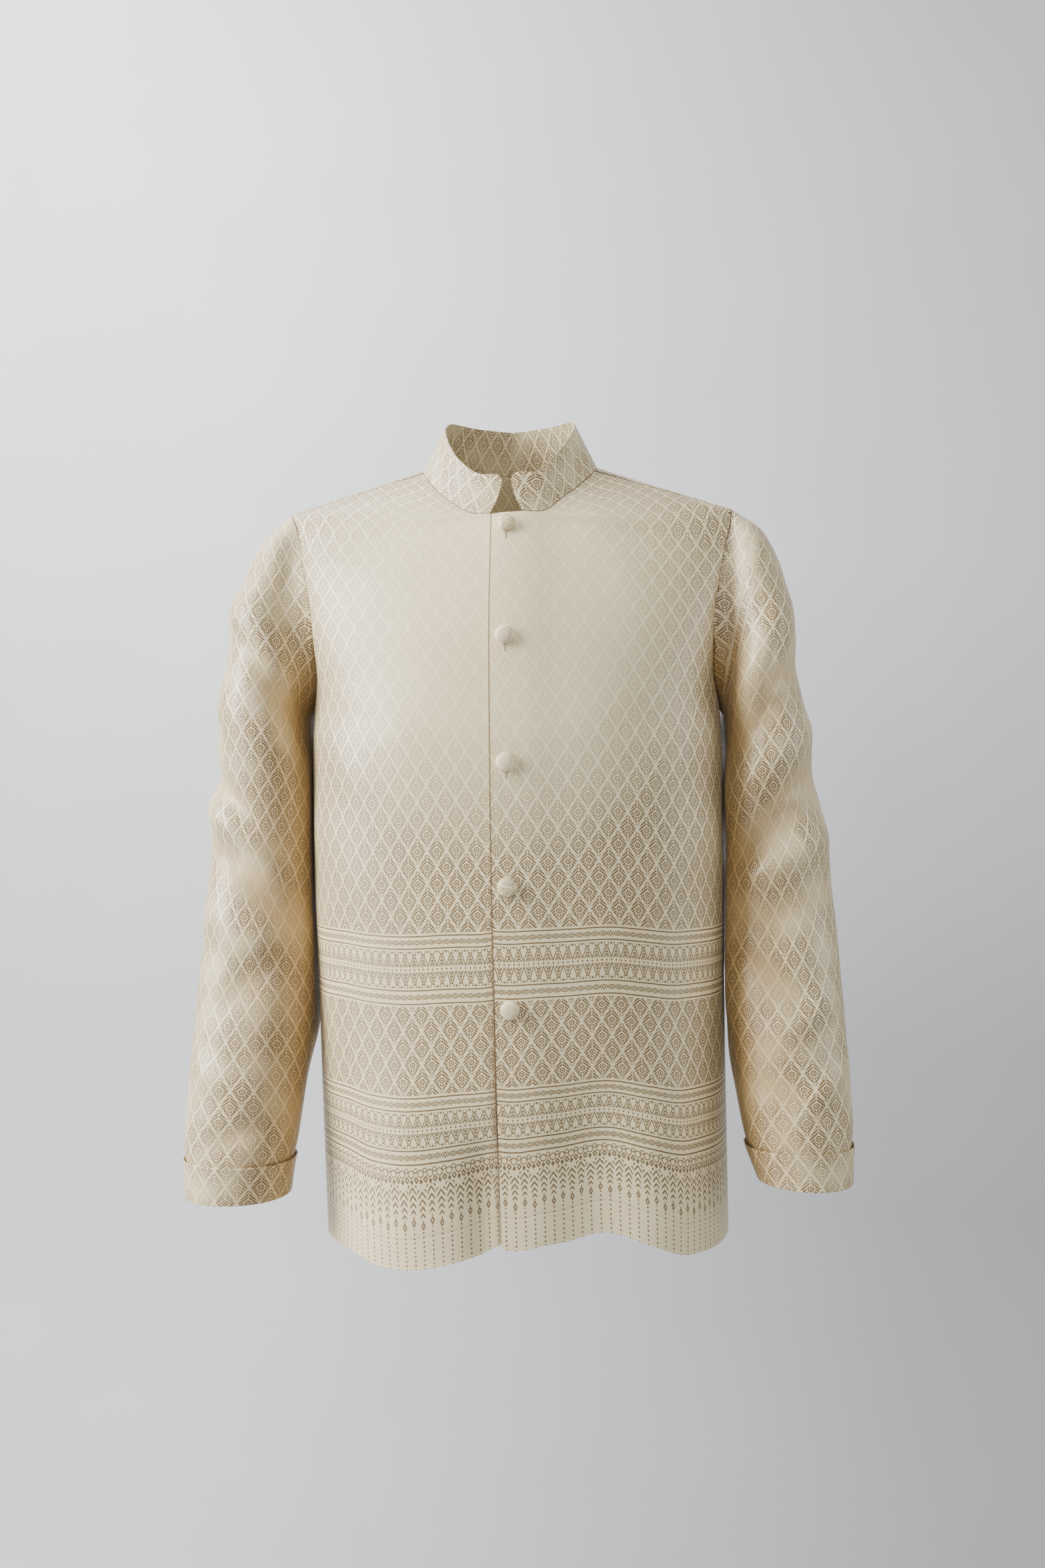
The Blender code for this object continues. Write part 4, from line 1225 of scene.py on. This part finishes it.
def noise(tree, place, scale, detail, stretch=(1, 1, 1)):
    """Even noise over the flat cloth, from 0 to 1."""
    mapping = tree.nodes.new("ShaderNodeMapping")
    mapping.inputs["Scale"].default_value = stretch
    tree.links.new(place, mapping.inputs["Vector"])
    grain = tree.nodes.new("ShaderNodeTexNoise")
    grain.inputs["Scale"].default_value = scale
    grain.inputs["Detail"].default_value = detail
    tree.links.new(mapping.outputs[0], grain.inputs["Vector"])
    return Term(tree, grain.outputs[0])


def mixed(tree, amount, first, second):
    """First colour turned into the second one by an amount from 0 to 1."""
    blend = tree.nodes.new("ShaderNodeMix")
    blend.data_type = "RGBA"
    for number, value in ((0, amount), (6, first), (7, second)):
        feed(tree, blend.inputs[number], value)
    return Term(tree, blend.outputs[2])


def brocade(name, settings, banded, crease=None, bright=0.0, hung=False):
    """Silk brocade: satin ground with vertical floats, gold figure with floats across them.

    Hung cloth carries painted shade on its body side and in its fold hollows, the figure on the chest fades
    as painted sheen, and painted shade lies along and beside the lap crease.
    """
    if name in bpy.data.materials:
        return bpy.data.materials[name]
    material, tree, shader = new_material(name)
    weave = layer_place(tree, "weave")
    u, v, _ = parts_of(tree, weave)
    fray_u = noise(tree, weave, 0.9, 0) - 0.5
    fray_v = noise(tree, weave, 0.8, 0, (1.0, 1.3, 1.0)) - 0.5
    figure = chart(u + fray_u * 0.5, v + fray_v * 0.5, banded)
    grain = noise(tree, weave, 1.5, 1, (1.0, 0.6, 1.0))
    broad = noise(tree, weave, 0.018, 1)
    slub = noise(tree, weave, 0.35, 1, (0.15, 2.2, 1.0))

    ground = mixed(tree, broad * 0.5 + slub * 0.3, settings.ground, settings.ground_shade)
    # Painted shade: toward the body, below the armpit and in the fold hollows the satin turns to the deep
    # shade colour.
    if hung:
        front = (BODY_SIDE_FRONT[0] - u) / BODY_SIDE_FRONT[1]
        back = (u - BODY_SIDE_BACK[0]) / BODY_SIDE_BACK[1]
        shade = together(front, back).clipped() * ((ARMPIT[0] - v) / ARMPIT[1]).clipped()
        ground = mixed(tree, shade * BODY_SIDE_TINT, ground, settings.painted_sleeve_shade)
        hollow = parts_of(tree, layer_place(tree, "hollow"))[0]
        ground = mixed(tree, hollow * HOLLOW_TINT, ground, settings.painted_sleeve_shade)
    weft = mixed(tree, grain, settings.figure_dark_and_lap_shade, settings.figure)
    # On the body the figure fades on the chest as painted sheen, where the light evens figure and ground, so
    # the chest reads lighter; elsewhere it fades at random.
    if banded:
        chest = (u / CHEST_FADE[0]).length((v - CHEST_FADE[1]) / CHEST_FADE[2])
        faded = (chest * -1.6 + 1.9).clipped() * -CHEST_FADE_BY + 1
    else:
        faded = (broad * 2.6 - 0.4).clipped(0.5)
    # Painted shade: the figure also fades in the sleeves' fold hollows.
    if hung:
        faded = faded * (hollow * -HOLLOW_FADE_BY + 1)
    strength = (grain * 0.4 + 0.85) * faded * (1 - bright)
    colour = mixed(tree, (figure * strength).by("MINIMUM", 1), ground, weft)
    height = grain * 0.8 + slub * 0.3
    if banded:
        off = (v - HEM_STITCH).size()
        stitches = inside(off - 0.35) * inside(u.wrapped(STITCH_STEP).size() - 1.0)
        colour = mixed(tree, stitches * STITCH_TINT, colour, settings.figure_dark_and_lap_shade)
        height = height - inside(off - 1.3, 2.2) * 2.4
    if crease is not None:
        # Painted shadow: a dark line along the lap crease, where the crevice under the top front lies in
        # shade; the same line also grooves the bump.
        line = inside((u - crease).size() - 0.8, 0.5)
        colour = mixed(tree, line * CREASE_TINT, colour, settings.seam)
        # Painted shade beside the lap, darker toward the hem, in the figure's dark colour.
        beside = ((u - crease) / LAP_SHADE + 1).clipped()
        lower = ((LAP_SHADE_TOP[0] - v) / LAP_SHADE_TOP[1]).clipped()
        colour = mixed(tree, beside * beside * lower * LAP_TINT, colour, settings.figure_dark_and_lap_shade)
        height = height - line * 3.0

    bump = tree.nodes.new("ShaderNodeBump")
    bump.inputs["Strength"].default_value = 0.55
    bump.inputs["Distance"].default_value = 0.2 * MM
    feed(tree, bump.inputs["Height"], height)
    tree.links.new(bump.outputs[0], shader.inputs["Normal"])
    tangent = tree.nodes.new("ShaderNodeTangent")
    tangent.direction_type = "UV_MAP"
    tangent.uv_map = "weave"
    tree.links.new(tangent.outputs[0], shader.inputs["Tangent"])
    feed(tree, shader.inputs["Base Color"], colour)
    feed(tree, shader.inputs["Roughness"], figure * 0.16 + grain * 0.06 + 0.34)
    feed(tree, shader.inputs["Anisotropic Rotation"], figure * 0.25)
    shader.inputs["Anisotropic"].default_value = 0.65
    shader.inputs["Specular IOR Level"].default_value = 0.8
    shader.inputs["Coat Weight"].default_value = 0.2
    shader.inputs["Coat Roughness"].default_value = 0.5
    shader.inputs["Sheen Weight"].default_value = 0.12
    shader.inputs["Sheen Roughness"].default_value = 0.45
    shader.inputs["Sheen Tint"].default_value = (1.0, 0.95, 0.85, 1)
    return material


def plain(name, colour, roughness, sheen=0.0, grain_size=900):
    """Plain surface with a fine mottled grain."""
    if name in bpy.data.materials:
        return bpy.data.materials[name]
    material, tree, shader = new_material(name)
    shader.inputs["Roughness"].default_value = roughness
    shader.inputs["Sheen Weight"].default_value = sheen
    where = tree.nodes.new("ShaderNodeTexCoord")
    grain = tree.nodes.new("ShaderNodeTexNoise")
    grain.inputs["Scale"].default_value = grain_size
    tree.links.new(where.outputs["Object"], grain.inputs["Vector"])
    ramp = tree.nodes.new("ShaderNodeValToRGB")
    ramp.color_ramp.elements[0].color = (*[0.9 * part for part in colour], 1)
    ramp.color_ramp.elements[1].color = (*colour, 1)
    tree.links.new(grain.outputs[0], ramp.inputs[0])
    tree.links.new(ramp.outputs[0], shader.inputs["Base Color"])
    return material


def painted(name, colour):
    """Matt wall paint with painted shade that darkens it toward its lower right."""
    material = plain(name, colour, 0.85, grain_size=3)
    tree = material.node_tree
    base = tree.nodes["Principled BSDF"].inputs["Base Color"]
    mottle = Term(tree, base.links[0].from_socket)
    x, _, z = parts_of(tree, tree.nodes.new("ShaderNodeTexCoord").outputs["Object"])
    # Painted shade: the wall darkens toward its lower right.
    across = ((x + 0.9) / 1.7).clipped()
    down = ((0.3 - z) / 1.7).clipped()
    painted_falloff = across * (down * 0.32 + 0.18) + down * 0.16
    feed(tree, base, mixed(tree, painted_falloff, mottle, (0.18, 0.18, 0.2)))
    return material


def colour_property(name, words, value):
    return bpy.props.FloatVectorProperty(
        name=name, description=words, default=value, subtype="COLOR", size=3, min=0.0, max=1.0
    )


class ShirtSettings(bpy.types.PropertyGroup):
    """Sizes and colours of the finished shirt."""

    wall: bpy.props.FloatProperty(
        name="Cloth thickness", description="Thickness of the finished cloth", default=WALL, unit="LENGTH"
    )
    ground: colour_property("Ground", "Light satin of the cloth", (0.91, 0.79, 0.50))
    ground_shade: colour_property("Ground shade", "Darker places of the satin", (0.84, 0.70, 0.40))
    # Painted shade colour for the sleeves' body side and fold hollows.
    painted_sleeve_shade: colour_property(
        "Painted sleeve shade", "Painted shade on the body side of the sleeves and in their fold hollows", (0.57, 0.36, 0.13)
    )
    figure: colour_property("Figure", "Gold weft of the woven figure", (0.22, 0.13, 0.037))
    # Darker weft threads, and also the colour of the painted shade beside the lap.
    figure_dark_and_lap_shade: colour_property("Figure shade", "Darker threads of the woven figure", (0.12, 0.065, 0.02))
    thread: colour_property("Thread", "Thread of the worked buttonholes", (0.50, 0.42, 0.28))
    seam: colour_property("Seam", "Shaded bottom of the seams", (0.16, 0.10, 0.05))


class StudioSettings(bpy.types.PropertyGroup):
    """Camera, lights and backdrop."""

    lens: bpy.props.FloatProperty(name="Lens", description="Focal length in millimetres", default=32.69)
    azimuth: bpy.props.FloatProperty(
        name="Azimuth",
        description="Turn of the camera round the shirt",
        default=math.radians(4),
        unit="ROTATION",
    )
    wall: colour_property("Backdrop", "Colour of the wall and floor", (0.82, 0.83, 0.86))


class ShirtOperator:
    bl_options = {"REGISTER", "UNDO"}

    def finish(self, pieces):
        if not pieces or any(item is None for item in pieces):
            raise RuntimeError(f"{self.bl_label}: a piece is missing")
        return {"FINISHED"}


class SHIRT_OT_fronts(ShirtOperator, bpy.types.Operator):
    """Build the two fronts, the wearer's left one lapping over the right"""

    bl_idname = "shirt.fronts"
    bl_label = "Fronts"

    def execute(self, context):
        settings = context.scene.shirt_settings
        left = front_panel(1, settings, brocade("brocade_body", settings, True))
        right = front_panel(-1, settings, brocade("brocade_under_lap", settings, True, crease=LAP_CREASE))
        return self.finish([left, right])


class SHIRT_OT_back(ShirtOperator, bpy.types.Operator):
    """Build the back in one piece"""

    bl_idname = "shirt.back"
    bl_label = "Back"

    def execute(self, context):
        settings = context.scene.shirt_settings
        return self.finish([back_panel(settings, brocade("brocade_body", settings, True))])


class SHIRT_OT_sleeves(ShirtOperator, bpy.types.Operator):
    """Build the set-in sleeves"""

    bl_idname = "shirt.sleeves"
    bl_label = "Sleeves"

    def execute(self, context):
        settings = context.scene.shirt_settings
        material = brocade("brocade_sleeves", settings, False, hung=True)
        return self.finish([sleeve_piece(side, settings, material) for side in (1, -1)])


class SHIRT_OT_cuffs(ShirtOperator, bpy.types.Operator):
    """Build the turned-up cuffs"""

    bl_idname = "shirt.cuffs"
    bl_label = "Cuffs"

    def execute(self, context):
        settings = context.scene.shirt_settings
        material = brocade("brocade_sleeves", settings, False, hung=True)
        return self.finish([cuff_piece(side, settings, material) for side in (1, -1)])


class SHIRT_OT_collar(ShirtOperator, bpy.types.Operator):
    """Build the standing collar with its rounded ends"""

    bl_idname = "shirt.collar"
    bl_label = "Collar"

    def execute(self, context):
        settings = context.scene.shirt_settings
        return self.finish([collar_piece(settings, brocade("brocade_lattice", settings, False))])


class SHIRT_OT_buttons(ShirtOperator, bpy.types.Operator):
    """Build the covered buttons and their worked slits"""

    bl_idname = "shirt.buttons"
    bl_label = "Buttons"

    def execute(self, context):
        settings = context.scene.shirt_settings
        cloth = brocade("brocade_buttons", settings, False, bright=0.45)
        thread = plain("buttonhole_thread", tuple(settings.thread), 0.6, sheen=0.2)
        grid = front_grid(1)[0][:FIRST_NECK_ROW]
        made = []
        for number, height in enumerate(BUTTON_HEIGHTS, start=1):
            made.append(button_piece(grid, number, height, cloth))
            made.append(buttonhole_piece(grid, number, height, thread))
        return self.finish(made)


class SHIRT_OT_seams(ShirtOperator, bpy.types.Operator):
    """Lay the sunk seams round the armholes, over the shoulders and under the collar"""

    bl_idname = "shirt.seams"
    bl_label = "Seams"

    def execute(self, context):
        thread = plain("seam_shade", tuple(context.scene.shirt_settings.seam), 0.8)
        return self.finish(seam_pieces(thread))


class SHIRT_OT_studio(ShirtOperator, bpy.types.Operator):
    """Build the plain floor, backdrop, soft lights and camera"""

    bl_idname = "shirt.studio"
    bl_label = "Studio"

    def execute(self, context):
        return self.finish(studio(context.scene.studio_settings))


def studio(settings):
    """Backdrop, soft lights, air and camera."""
    scene = bpy.context.scene
    profile = [(FRONT_EDGE, FLOOR), (WALL_AT - BEND, FLOOR)]
    for step in range(1, BEND_STEPS + 1):
        angle = math.pi / 2 * step / BEND_STEPS
        profile.append((WALL_AT - BEND + BEND * math.sin(angle), FLOOR + BEND * (1 - math.cos(angle))))
    profile.append((WALL_AT, WALL_TOP))
    sweep = bmesh.new()
    left, right = ([sweep.verts.new((x, y, z)) for y, z in profile] for x in (-HALF_WIDTH, HALF_WIDTH))
    for low in range(len(profile) - 1):
        sweep.faces.new((left[low], right[low], right[low + 1], left[low + 1]))
    data = bpy.data.meshes.new("studio_sweep")
    sweep.to_mesh(data)
    sweep.free()
    for polygon in data.polygons:
        polygon.use_smooth = True
    data.materials.append(painted("studio_paint_and_shade", tuple(settings.wall)))
    backdrop = bpy.data.objects.new("studio_sweep", data)
    scene.collection.objects.link(backdrop)

    made = [backdrop]
    for name, place, aim, width, height, power, colour in LIGHTS:
        data = bpy.data.lights.new(name, "AREA")
        data.shape = "RECTANGLE"
        data.size, data.size_y = width, height
        data.energy = power
        data.color = colour
        lamp = bpy.data.objects.new(name, data)
        lamp.location = place
        lamp.rotation_euler = (Vector(aim) - Vector(place)).to_track_quat("-Z", "Y").to_euler()
        scene.collection.objects.link(lamp)
        made.append(lamp)

    world = bpy.data.worlds.new("studio_air")
    world.use_nodes = True
    air = world.node_tree.nodes["Background"]
    air.inputs["Color"].default_value = (0.95, 0.96, 1.0, 1)
    air.inputs["Strength"].default_value = 0.18
    scene.world = world

    data = bpy.data.cameras.new("studio_camera")
    data.lens = settings.lens
    data.sensor_width = 36
    data.clip_end = 20
    camera = bpy.data.objects.new("studio_camera", data)
    camera.location = (
        CAMERA_REACH * math.sin(settings.azimuth) + CAMERA_SHIFT[0],
        -CAMERA_REACH * math.cos(settings.azimuth) + CAMERA_SHIFT[1],
        CAMERA_HEIGHT,
    )
    camera.rotation_euler = (math.pi / 2, 0, settings.azimuth)
    scene.collection.objects.link(camera)
    scene.camera = camera
    made.append(camera)
    return made


class SHIRT_PT_panel(bpy.types.Panel):
    """Steps that build the shirt, in order"""

    bl_idname = "SHIRT_PT_panel"
    bl_label = "Brocade Shirt"
    bl_space_type = "VIEW_3D"
    bl_region_type = "UI"
    bl_category = "Brocade Shirt"

    def draw(self, context):
        for name in ShirtSettings.__annotations__:
            self.layout.prop(context.scene.shirt_settings, name)
        for operator in STEPS:
            self.layout.operator(operator.bl_idname)
        for name in StudioSettings.__annotations__:
            self.layout.prop(context.scene.studio_settings, name)


STEPS = (
    SHIRT_OT_fronts,
    SHIRT_OT_back,
    SHIRT_OT_sleeves,
    SHIRT_OT_cuffs,
    SHIRT_OT_collar,
    SHIRT_OT_buttons,
    SHIRT_OT_seams,
    SHIRT_OT_studio,
)


def register():
    for item in (ShirtSettings, StudioSettings, *STEPS, SHIRT_PT_panel):
        bpy.utils.register_class(item)
    bpy.types.Scene.shirt_settings = bpy.props.PointerProperty(type=ShirtSettings)
    bpy.types.Scene.studio_settings = bpy.props.PointerProperty(type=StudioSettings)


def unregister():
    del bpy.types.Scene.studio_settings
    del bpy.types.Scene.shirt_settings
    for item in reversed((ShirtSettings, StudioSettings, *STEPS, SHIRT_PT_panel)):
        bpy.utils.unregister_class(item)


def main():
    register()
    bpy.ops.shirt.fronts()
    bpy.ops.shirt.back()
    bpy.ops.shirt.sleeves()
    bpy.ops.shirt.cuffs()
    bpy.ops.shirt.collar()
    bpy.ops.shirt.buttons()
    bpy.ops.shirt.seams()
    bpy.ops.shirt.studio()
    bpy.context.view_layer.update()


if __name__ == "__main__":
    main()
